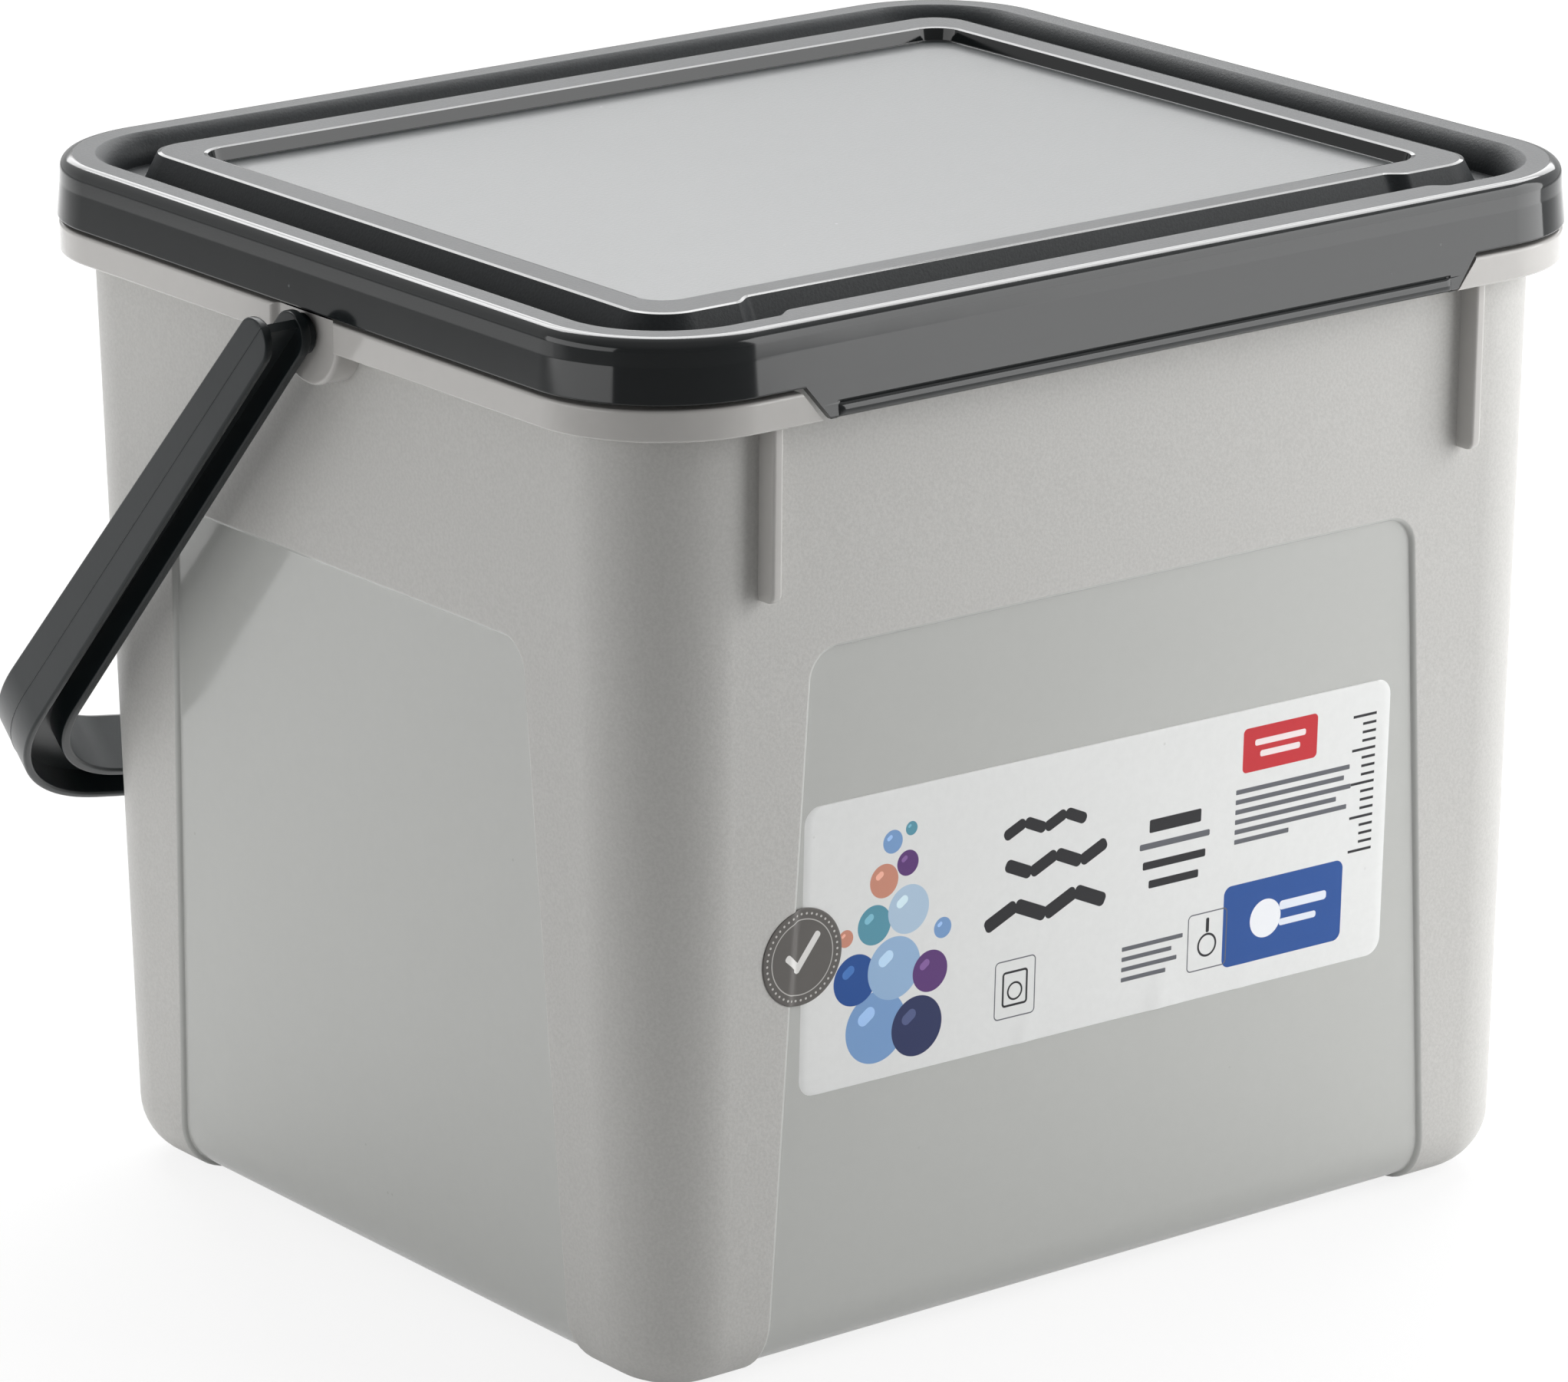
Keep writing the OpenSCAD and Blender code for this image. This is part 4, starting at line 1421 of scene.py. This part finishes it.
class Groups:
    """Shader node groups that more than one material uses, each built once."""

    @staticmethod
    def start(
        name: str, inputs: dict[str, float | None], outputs: Sequence[str]
    ) -> tuple[Bench, bpy.types.Node, bpy.types.Node] | None:
        """Begins a group, or returns None where it is there already.

        Args:
            name: Name of the group.
            inputs: Default of each input by its name, or None for a vector.
            outputs: Name of each output value.

        Returns:
            The bench and the group's input and output nodes.
        """
        if name in bpy.data.node_groups:
            return None
        tree = bpy.data.node_groups.new(name, "ShaderNodeTree")
        for label, default in inputs.items():
            kind = "NodeSocketVector" if default is None else "NodeSocketFloat"
            made = tree.interface.new_socket(label, in_out="INPUT", socket_type=kind)
            if default is not None:
                made.default_value = default
        for label in outputs:
            tree.interface.new_socket(label, in_out="OUTPUT", socket_type="NodeSocketFloat")
        bench = Bench(tree)
        return bench, bench.node("NodeGroupInput"), bench.node("NodeGroupOutput")

    @classmethod
    def mould_texture(cls) -> str:
        """Eroded texture of a mould: height, and a faint tint of the colour."""
        name = "Mould texture"
        begun = cls.start(name, {"Grain": 0.5}, ("Height", "Tint"))
        if begun is None:
            return name
        bench, given, result = begun
        place = bench.node("ShaderNodeTexCoord").outputs["Object"]
        scale = bench.sum("DIVIDE", 1000.0, given.outputs["Grain"])
        fine = bench.noise(place, scale, 3.0, 0.6)
        broad = bench.noise(place, 14.0, 3.0, 0.55)
        bench.feed(fine, result.inputs["Height"])
        flow = 0.15
        cloud = bench.sum("MULTIPLY", bench.ramp(broad, 0.2, 0.8), flow)
        grain = bench.sum("MULTIPLY", bench.ramp(fine, 0.25, 0.75), 1 - flow)
        bench.feed(bench.sum("ADD", cloud, grain, clamp=True), result.inputs["Tint"])
        return name

    @classmethod
    def handling(cls) -> str:
        """Marks of handling: a roughness that varies, and a mask of dust specks."""
        name = "Handling marks"
        inputs = {"Roughness": 0.3, "Smudge": 0.05, "Specks": 0.3}
        begun = cls.start(name, inputs, ("Roughness", "Specks"))
        if begun is None:
            return name
        bench, given, result = begun
        place = bench.node("ShaderNodeTexCoord").outputs["Object"]
        wide = bench.ramp(bench.noise(place, 22.0, 4.0, 0.6), 0.35, 0.75)
        shift = bench.sum("MULTIPLY", wide, given.outputs["Smudge"])
        rough = bench.sum("ADD", given.outputs["Roughness"], shift)
        bench.feed(rough, result.inputs["Roughness"])
        cells = bench.node("ShaderNodeTexVoronoi", feature="F1")
        bench.feed(place, cells.inputs["Vector"])
        cells.inputs["Scale"].default_value = 190.0
        near = bench.sum("SUBTRACT", 1.0, bench.ramp(cells.outputs["Distance"], 0.03, 0.07))
        rare = bench.ramp(bench.noise(place, 60.0, 2.0), 0.6, 0.66)
        specks = bench.sum("MULTIPLY", bench.sum("MULTIPLY", near, rare), given.outputs["Specks"])
        bench.feed(specks, result.inputs["Specks"])
        return name

    @classmethod
    def block(cls) -> str:
        """Mask of a printed block with rounded corners, on a plane in millimetres."""
        name = "Printed block"
        sizes = {"Half width": 5.0, "Half height": 2.0, "Radius": 0.5, "Turn": 0.0}
        begun = cls.start(name, {"Plane": None, "X": 0.0, "Y": 0.0, **sizes}, ("Mask", "Distance"))
        if begun is None:
            return name
        bench, given, result = begun
        parts = bench.node("ShaderNodeSeparateXYZ")
        bench.feed(given.outputs["Plane"], parts.inputs[0])
        x = bench.sum("SUBTRACT", parts.outputs["X"], given.outputs["X"])
        y = bench.sum("SUBTRACT", parts.outputs["Y"], given.outputs["Y"])
        cosine = bench.sum("COSINE", given.outputs["Turn"])
        sine = bench.sum("SINE", given.outputs["Turn"])
        u = bench.sum("ADD", bench.sum("MULTIPLY", x, cosine), bench.sum("MULTIPLY", y, sine))
        v = bench.sum("SUBTRACT", bench.sum("MULTIPLY", y, cosine), bench.sum("MULTIPLY", x, sine))
        beyond = []
        for value, half in ((u, "Half width"), (v, "Half height")):
            inner = bench.sum("SUBTRACT", given.outputs[half], given.outputs["Radius"])
            beyond.append(bench.sum("SUBTRACT", bench.sum("ABSOLUTE", value), inner))
        outside = [bench.sum("MAXIMUM", value, 0.0) for value in beyond]
        squares = [bench.sum("MULTIPLY", value, value) for value in outside]
        length = bench.sum("SQRT", bench.sum("ADD", *squares))
        inward = bench.sum("MINIMUM", bench.sum("MAXIMUM", *beyond), 0.0)
        reach = bench.sum("ADD", length, inward)
        distance = bench.sum("SUBTRACT", reach, given.outputs["Radius"])
        bench.feed(bench.ramp(distance, 0.05, -0.05), result.inputs["Mask"])
        bench.feed(distance, result.inputs["Distance"])
        return name


class Bump(Enum):
    """Depth of a texture in metres, by its kind."""

    NONE = 0.0
    FINE = 0.00003
    COARSE = 0.00006


@dataclass(frozen=True)
class Plastic:
    """A finish of moulded polypropylene."""

    name: str
    shade: Shade
    roughness: float
    specular: float = 0.5
    grain: float = 0.5
    bump: Bump = Bump.NONE
    bump_strength: float = 0.5
    variation: float = 0.03
    smudge: float = 0.05
    specks: float = 0.25
    speck_shade: Shade = (150, 148, 145)

    def make(self) -> bpy.types.Material:
        """Builds the material from the shared groups."""
        material, bench = begin(self.name)
        shader = bench.node("ShaderNodeBsdfPrincipled")
        bench.show(shader.outputs[0])
        texture = bench.group(Groups.mould_texture(), {"Grain": self.grain})
        wear = {"Roughness": self.roughness, "Smudge": self.smudge, "Specks": self.specks}
        marks = bench.group(Groups.handling(), wear)
        base = linear(*self.shade)
        dark, light = shaded(base, 1 - self.variation), shaded(base, 1 + self.variation)
        colour = bench.blend(texture.outputs["Tint"], dark, light)
        colour = bench.blend(marks.outputs["Specks"], colour, linear(*self.speck_shade))
        bench.feed(colour, shader.inputs["Base Color"])
        bench.feed(marks.outputs["Roughness"], shader.inputs["Roughness"])
        shader.inputs["Specular IOR Level"].default_value = self.specular
        if self.bump is not Bump.NONE:
            normal = bench.bumped(texture.outputs["Height"], self.bump_strength, self.bump.value)
            bench.feed(normal, shader.inputs["Normal"])
        return material


GREY = (188, 187, 184)
ANTHRACITE = (28, 31, 32)

WALL = Plastic(
    "Grey wall, eroded texture", GREY, roughness=0.44, specular=0.45, grain=0.55,
    bump=Bump.COARSE, bump_strength=0.6, variation=0.07, smudge=0.03, specks=0.2,
)
PANEL = Plastic(
    "Grey panel, polished", (183, 184, 181), roughness=0.09, grain=2.5, variation=0.008,
    smudge=0.04, specks=0.35, speck_shade=(150, 148, 144),
)
COLLAR = Plastic(
    "Grey collar, glossy", (190, 188, 185), roughness=0.09, grain=3.0, variation=0.01,
    smudge=0.04, specks=0.2, speck_shade=(160, 158, 155),
)
INSIDE = Plastic(
    "Grey inside, smooth", (186, 184, 181), roughness=0.32, grain=2.5, variation=0.02,
    smudge=0.08, specks=0.2, speck_shade=(160, 158, 155),
)
LID_GLOSS = Plastic(
    "Anthracite gloss", ANTHRACITE, roughness=0.07, grain=3.0, variation=0.04, smudge=0.06,
    specks=0.5, speck_shade=(150, 154, 155),
)
LID_SATIN = Plastic(
    "Anthracite satin", (43, 46, 48), roughness=0.46, specular=0.22, grain=0.5,
    bump=Bump.COARSE, bump_strength=0.8, variation=0.18, smudge=0.03, specks=0.3,
    speck_shade=(140, 142, 143),
)
LID_PANEL = Plastic(
    "Anthracite panel, fine grain", (56, 60, 61), roughness=0.34, specular=0.48, grain=0.6,
    bump=Bump.COARSE, bump_strength=0.6, variation=0.1, smudge=0.012, specks=0.3,
    speck_shade=(160, 162, 163),
)
HANDLE_SATIN = Plastic(
    "Dark satin handle", (23, 29, 31), roughness=0.3, specular=0.29, grain=1.2,
    bump=Bump.FINE, bump_strength=0.25, variation=0.08, smudge=0.1, specks=0.35,
    speck_shade=(120, 124, 124),
)


@dataclass(frozen=True)
class Mark:
    """A printed mark: place, half sizes, corner radius, turn in degrees and colour."""

    x: float
    y: float
    half_width: float
    half_height: float
    radius: float
    shade: Shade
    turn: float = 0.0
    outline: float = 0.0


@dataclass
class Print:
    """A film with a print: its paper, its marks and its finish."""

    name: str
    paper: Shade
    roughness: float
    marks: Sequence[Mark]
    specular: float = 0.3
    coat: float = 0.05
    coat_roughness: float = 0.12
    grain: float = 1.5
    variation: float = 0.03
    smudge: float = 0.04
    specks: float = 0.3
    bump_strength: float = 0.12

    def make(self) -> bpy.types.Material:
        """Builds the material from the marks, in order."""
        material, bench = begin(self.name)
        shader = bench.node("ShaderNodeBsdfPrincipled")
        bench.show(shader.outputs[0])
        plane = bench.node("ShaderNodeUVMap", uv_map=PRINT_PLANE).outputs[0]
        wear = {"Roughness": self.roughness, "Smudge": self.smudge, "Specks": self.specks}
        handling = bench.group(Groups.handling(), wear)
        texture = bench.group(Groups.mould_texture(), {"Grain": self.grain})
        base = linear(*self.paper)
        colour = bench.blend(texture.outputs["Tint"], shaded(base, 1 - self.variation), base)
        for mark in self.marks:
            values = {
                "Plane": plane,
                "X": mark.x,
                "Y": mark.y,
                "Half width": mark.half_width,
                "Half height": mark.half_height,
                "Radius": mark.radius,
                "Turn": math.radians(mark.turn),
            }
            block = bench.group(Groups.block(), values)
            mask = block.outputs["Mask"]
            if mark.outline > 0:
                near = bench.sum("ABSOLUTE", block.outputs["Distance"])
                mask = bench.ramp(near, mark.outline / 2 + 0.04, mark.outline / 2 - 0.04)
            colour = bench.blend(mask, colour, linear(*mark.shade))
        colour = bench.blend(handling.outputs["Specks"], colour, linear(170, 170, 168))
        bench.feed(colour, shader.inputs["Base Color"])
        bench.feed(handling.outputs["Roughness"], shader.inputs["Roughness"])
        for label, value in (
            ("Specular IOR Level", self.specular),
            ("Coat Weight", self.coat),
            ("Coat Roughness", self.coat_roughness),
        ):
            shader.inputs[label].default_value = value
        normal = bench.bumped(texture.outputs["Height"], self.bump_strength, Bump.FINE.value)
        bench.feed(normal, shader.inputs["Normal"])
        return material


NAVY, SKY, TEAL = (38, 48, 92), (120, 158, 205), (86, 150, 170)
PURPLE, COPPER, BLUE = (92, 52, 118), (205, 140, 118), (22, 76, 150)
INK, SMALL_INK, RED = (30, 30, 34), (96, 98, 104), (196, 34, 44)


def label_marks() -> list[Mark]:
    """Marks of the label: a heap of bubbles, waves, bars, two blocks and two signs."""
    marks: list[Mark] = []
    bubbles = [
        (-47.0, -15.5, 6.2, SKY), (-38.5, -17.0, 5.2, NAVY), (-51.5, -6.5, 4.4, BLUE),
        (-43.5, -6.0, 5.4, (150, 182, 216)), (-36.0, -8.0, 3.6, PURPLE),
        (-47.8, 2.2, 3.4, TEAL), (-40.8, 3.6, 4.2, (176, 200, 222)),
        (-46.0, 9.4, 2.9, COPPER), (-41.2, 11.6, 2.2, PURPLE), (-44.4, 15.8, 2.0, SKY),
        (-40.6, 17.4, 1.2, TEAL), (-33.6, -1.0, 1.8, SKY), (-53.6, 1.0, 1.5, COPPER),
    ]
    for x, y, radius, shade in bubbles:
        marks.append(Mark(x, y, radius, radius, radius, shade))
        shine = tuple(min(255, channel + 45) for channel in shade)
        marks.append(
            Mark(x - radius * 0.32, y + radius * 0.36, radius * 0.3, radius * 0.18,
                 radius * 0.18, shine, 35)
        )
    waves = ((-12.5, 13.0, 8.6), (-10.0, 6.0, 10.6), (-12.0, -1.6, 12.6))
    for row, (x, y, wide) in enumerate(waves):
        for piece in range(4):
            slope = 24 if piece % 2 == row % 2 else -24
            step = (piece - 1.5) * wide / 2
            marks.append(Mark(x + step, y, wide / 3.55, 1.0 + 0.12 * row, 0.9, INK, slope))
    for row, (half, thick) in enumerate(((5.6, 1.15), (7.6, 0.55), (6.8, 0.7), (5.4, 0.7))):
        marks.append(Mark(15.5, 8.0 - 3.4 * row, half, thick, 0.3, INK if row != 1 else SMALL_INK))
    marks += [
        Mark(40.0, -13.2, 13.2, 7.2, 1.6, BLUE),
        Mark(36.2, -13.2, 3.4, 3.4, 3.4, (238, 240, 244)),
        Mark(44.5, -11.6, 5.2, 0.8, 0.6, (226, 232, 242)),
        Mark(43.4, -14.6, 4.1, 0.6, 0.5, (226, 232, 242)),
        Mark(38.0, 17.4, 8.2, 3.9, 0.9, RED),
        Mark(38.0, 18.5, 5.6, 0.55, 0.4, (240, 226, 226)),
        Mark(38.0, 16.4, 4.4, 0.55, 0.4, (240, 226, 226)),
    ]
    for row, half in enumerate((12.6, 12.0, 12.8, 11.2, 12.4, 6.0)):
        marks.append(Mark(28.6 + half, 10.4 - 1.75 * row, half, 0.42, 0.15, SMALL_INK))
    for row, half in enumerate((6.6, 5.4, 6.0, 4.8)):
        marks.append(Mark(4.8 + half, -12.6 - 1.8 * row, half, 0.38, 0.15, SMALL_INK))
    for x in (-18.0, 23.4):
        marks.append(Mark(x, -14.6, 4.2, 5.0, 0.8, SMALL_INK, 0, 0.22))
    marks += [
        Mark(-18.0, -14.6, 2.5, 2.9, 0.5, INK, 0, 0.4),
        Mark(-18.0, -15.1, 1.45, 1.45, 1.45, INK, 0, 0.35),
        Mark(23.4, -15.4, 1.9, 1.9, 1.9, INK, 0, 0.4),
        Mark(23.4, -11.9, 0.35, 1.3, 0.3, INK),
    ]
    for row in range(17):
        long = 2.6 if row % 4 == 0 else 1.5
        marks.append(Mark(59.4 - long, 19.0 - 1.5 * row, long, 0.24, 0.05, INK))
    return marks


def seal_marks() -> list[Mark]:
    """Marks of the seal: a dotted ring, a thin ring and a tick."""
    dots, reach = 44, 7.35
    turns = [math.tau * dot / dots for dot in range(dots)]
    return [
        *(
            Mark(reach * math.cos(turn), reach * math.sin(turn), 0.2, 0.2, 0.2, (196, 194, 190))
            for turn in turns
        ),
        Mark(0, 0, 6.4, 6.4, 6.4, (186, 184, 180), 0, 0.18),
        Mark(-1.9, -0.6, 0.62, 2.1, 0.5, (226, 225, 222), 48),
        Mark(1.15, 0.6, 0.62, 3.9, 0.5, (226, 225, 222), -38),
    ]


# The studio


def direction(azimuth: float, elevation: float) -> Vector:
    """Direction away from the object, in degrees from the front and up from the floor."""
    turn, rise = math.radians(azimuth), math.radians(elevation)
    level = math.cos(rise)
    return Vector((math.sin(turn) * level, -math.cos(turn) * level, math.sin(rise)))


@dataclass(frozen=True)
class Softbox:
    """A soft lamp, placed by its direction from the object."""

    name: str
    azimuth: float
    elevation: float
    distance: float
    width: float
    height: float
    radiance: float

    def make(self, aim: Vector) -> None:
        """Adds the lamp, turned towards a point."""
        data = bpy.data.lights.new(self.name, "AREA")
        data.shape = "RECTANGLE"
        data.size, data.size_y = self.width, self.height
        data.energy = self.radiance * math.pi * self.width * self.height
        lamp = linked(self.name, data)
        away = direction(self.azimuth, self.elevation)
        lamp.location = aim + away * self.distance
        lamp.rotation_euler = (-away).to_track_quat("-Z", "Y").to_euler()
        lamp.visible_camera = False


@dataclass
class Studio:
    """Floor, lamps, world and camera."""

    aim: Vector = field(default_factory=lambda: Vector((0.0, 0.0, 0.09)))
    toward: Flat = (-0.61, -0.79)
    floor_half: float = 3.0
    floor_white: float = 0.85
    floor_mirrored: float = 0.6
    floor_reach: Flat = (0.127, 1.05)
    floor_soft: Flat = (0.03, 0.15)
    # floor paint tones: the dark one is painted shade towards the open side, the pale one lies
    # round the object
    floor_paint_shade_tones: Flat = (0.26, 0.9)
    painted_shade_reach: Flat = (0.15, 0.42)
    dim: float = 0.28
    dim_fill: float = 0.05
    overhead: float = 0.45
    backdrop: Flat = (0.8, -0.5)
    zenith: Flat = (0.3, 0.9)
    bright: float = 0.85
    softboxes: Sequence[Softbox] = (
        Softbox("back_high_box", 141, 50, 1.4, 1.6, 0.66, 7.0),
        Softbox("back_low_box", 141, 27, 1.4, 1.6, 0.44, 3.5),
        Softbox("right_front_box", 48, 19.1, 0.762, 0.64, 0.71, 3.2),
        Softbox("left_box", -100, 10.8, 1.02, 1.1, 0.5, 1.75),
    )
    eye: tuple[float, float, float] = (-0.792000, -1.031641, 0.487490)
    azimuth: float = -37.788
    elevation: float = 17.066
    roll: float = 0.0954
    sensor: float = 36.0
    focal: float = 10279.73
    frame: tuple[int, int] = (2044, 1801)
    principal: Flat = (1103.68, 876.44)

    def near_side(self, bench: Bench, place: bpy.types.NodeSocket) -> bpy.types.NodeSocket:
        """Distance of a point, or share of a direction, on the open side of the studio."""
        product = bench.node("ShaderNodeVectorMath", operation="DOT_PRODUCT")
        bench.feed(place, product.inputs[0])
        product.inputs[1].default_value = (*self.toward, 0.0)
        return product.outputs["Value"]

    def make_floor(self) -> None:
        """Adds the pale floor, which still shows the object's shadow.

        Reflections see it white round the object and dimmer towards the open
        side of the studio, where no lamp stands. Its paint darkens towards that
        side too: painted shade.
        """
        mesh = bpy.data.meshes.new("floor")
        reach = self.floor_half
        corners = [(-reach, -reach, 0), (reach, -reach, 0), (reach, reach, 0), (-reach, reach, 0)]
        mesh.from_pydata(corners, [], [(0, 1, 2, 3)])
        floor = linked("floor", mesh)
        material, bench = begin("Pale floor")
        seen, glossy = bench.rays()
        mirrored = bench.sum("MULTIPLY", glossy, self.floor_mirrored)
        share = bench.sum("MULTIPLY", bench.sum("ADD", seen, mirrored), self.floor_white)
        place = bench.node("ShaderNodeTexCoord").outputs["Object"]
        length = bench.node("ShaderNodeVectorMath", operation="LENGTH")
        bench.feed(place, length.inputs[0])
        ahead, away = self.floor_reach
        soft, softer = self.floor_soft
        lit = bench.sum(
            "MULTIPLY",
            bench.ramp(self.near_side(bench, place), ahead + soft, ahead - soft),
            bench.ramp(length.outputs["Value"], away + softer, away - softer),
        )
        strength = bench.sum("ADD", self.dim, bench.sum("MULTIPLY", lit, 1 - self.dim))
        strength = bench.sum("MAXIMUM", strength, seen)
        paint = bench.node("ShaderNodeBsdfPrincipled")
        paint.inputs["Roughness"].default_value = 0.9
        paint.inputs["Specular IOR Level"].default_value = 0.1
        # painted shade: the floor's paint darkens towards the open side of the studio, where no
        # lamp stands
        low, high = self.floor_paint_shade_tones
        white = bench.ramp(self.near_side(bench, place), self.painted_shade_reach[1], self.painted_shade_reach[0])
        shaded_tone = bench.sum("ADD", low, bench.sum("MULTIPLY", white, high - low))
        bench.feed(bench.sum("MAXIMUM", shaded_tone, seen), paint.inputs["Base Color"])
        glow = bench.node("ShaderNodeEmission")
        glow.inputs["Color"].default_value = (1, 1, 1, 1)
        bench.feed(strength, glow.inputs["Strength"])
        bench.show(bench.mixed(share, paint, glow))
        mesh.materials.append(material)

    def make_world(self) -> None:
        """Sets a white backdrop that fades to a dim fill on the open side."""
        world = bpy.data.worlds.new("Studio")
        world.use_nodes = True
        world.node_tree.nodes.clear()
        bench = Bench(world.node_tree)
        seen, glossy = bench.rays()
        way = bench.node("ShaderNodeTexCoord").outputs["Generated"]
        parts = bench.node("ShaderNodeSeparateXYZ")
        bench.feed(way, parts.inputs[0])
        behind = bench.ramp(self.near_side(bench, way), *self.backdrop)
        above = bench.sum("MULTIPLY", bench.ramp(parts.outputs["Z"], *self.zenith), self.overhead)
        lit = bench.sum("MAXIMUM", behind, above)
        level = bench.sum("ADD", self.dim, bench.sum("MULTIPLY", lit, self.bright - self.dim))
        spread = bench.sum("MULTIPLY", lit, self.bright - self.dim_fill)
        fill = bench.node("ShaderNodeBackground")
        bench.feed(bench.sum("ADD", self.dim_fill, spread), fill.inputs["Strength"])
        white = bench.node("ShaderNodeBackground")
        bench.feed(bench.sum("MAXIMUM", level, seen), white.inputs["Strength"])
        shown = bench.sum("ADD", seen, glossy, clamp=True)
        bench.show(bench.mixed(shown, fill, white), "World")
        bpy.context.scene.world = world

    def make_camera(self) -> None:
        """Places the camera as the photographer's stood."""
        data = bpy.data.cameras.new("studio_camera")
        wide, high = self.frame
        data.sensor_fit = "HORIZONTAL"
        data.sensor_width = self.sensor
        data.lens = self.focal * self.sensor / wide
        data.shift_x = (wide / 2 - self.principal[0]) / wide
        data.shift_y = (self.principal[1] - high / 2) / wide
        camera = linked("studio_camera", data)
        azimuth = math.radians(self.azimuth)
        right = Vector((math.cos(azimuth), math.sin(azimuth), 0))
        back = direction(self.azimuth, self.elevation)
        over = back.cross(right)
        roll = math.radians(self.roll)
        tilted = right * math.cos(roll) - over * math.sin(roll)
        upright = over * math.cos(roll) + right * math.sin(roll)
        axes = Matrix((tilted, upright, back)).transposed()
        camera.matrix_world = Matrix.Translation(Vector(self.eye)) @ axes.to_4x4()
        data.clip_start, data.clip_end = 0.05, 50.0
        bpy.context.scene.camera = camera

    def make(self) -> None:
        """Builds the whole studio."""
        self.make_floor()
        self.make_world()
        for softbox in self.softboxes:
            softbox.make(self.aim)
        self.make_camera()
        bpy.context.scene.view_settings.view_transform = "Standard"


def place(piece: bpy.types.Object, body: str, node: str, slot: str) -> None:
    """Puts a piece on its body in place of a node, and reports it."""
    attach(piece, body)
    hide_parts(node)
    LOG.info("%s: %d faces on %s", piece.name, len(piece.data.polygons), body)


def main() -> None:
    """Builds the container's looks in order."""
    logging.basicConfig(level=logging.INFO, format="%(name)s: %(message)s")
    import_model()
    shell = Shell()
    lid = Lid(shell)
    bucket = Bucket(shell)
    grey = [finish.make() for finish in (WALL, PANEL, COLLAR, INSIDE)]
    place(bucket.make(grey, lid.tab_half), "container", "bucket", "bucket_plastic")
    dark = [finish.make() for finish in (LID_GLOSS, LID_SATIN, LID_PANEL)]
    place(lid.make(dark), "lid", "lid", "lid_plastic")
    place(Handle().make([HANDLE_SATIN.make()]), "handle", "handle", "handle_plastic")
    film = Print("Printed film", (228, 229, 228), 0.3, label_marks()).make()
    place(Label(shell).make(film), "container", "label", "label_film")
    sticker = Print("Seal film", (98, 95, 92), 0.35, seal_marks()).make()
    place(Seal(shell, bucket.front_panel).make(sticker), "container", "round_seal", "seal_film")
    Studio().make()


if __name__ == "__main__":
    main()
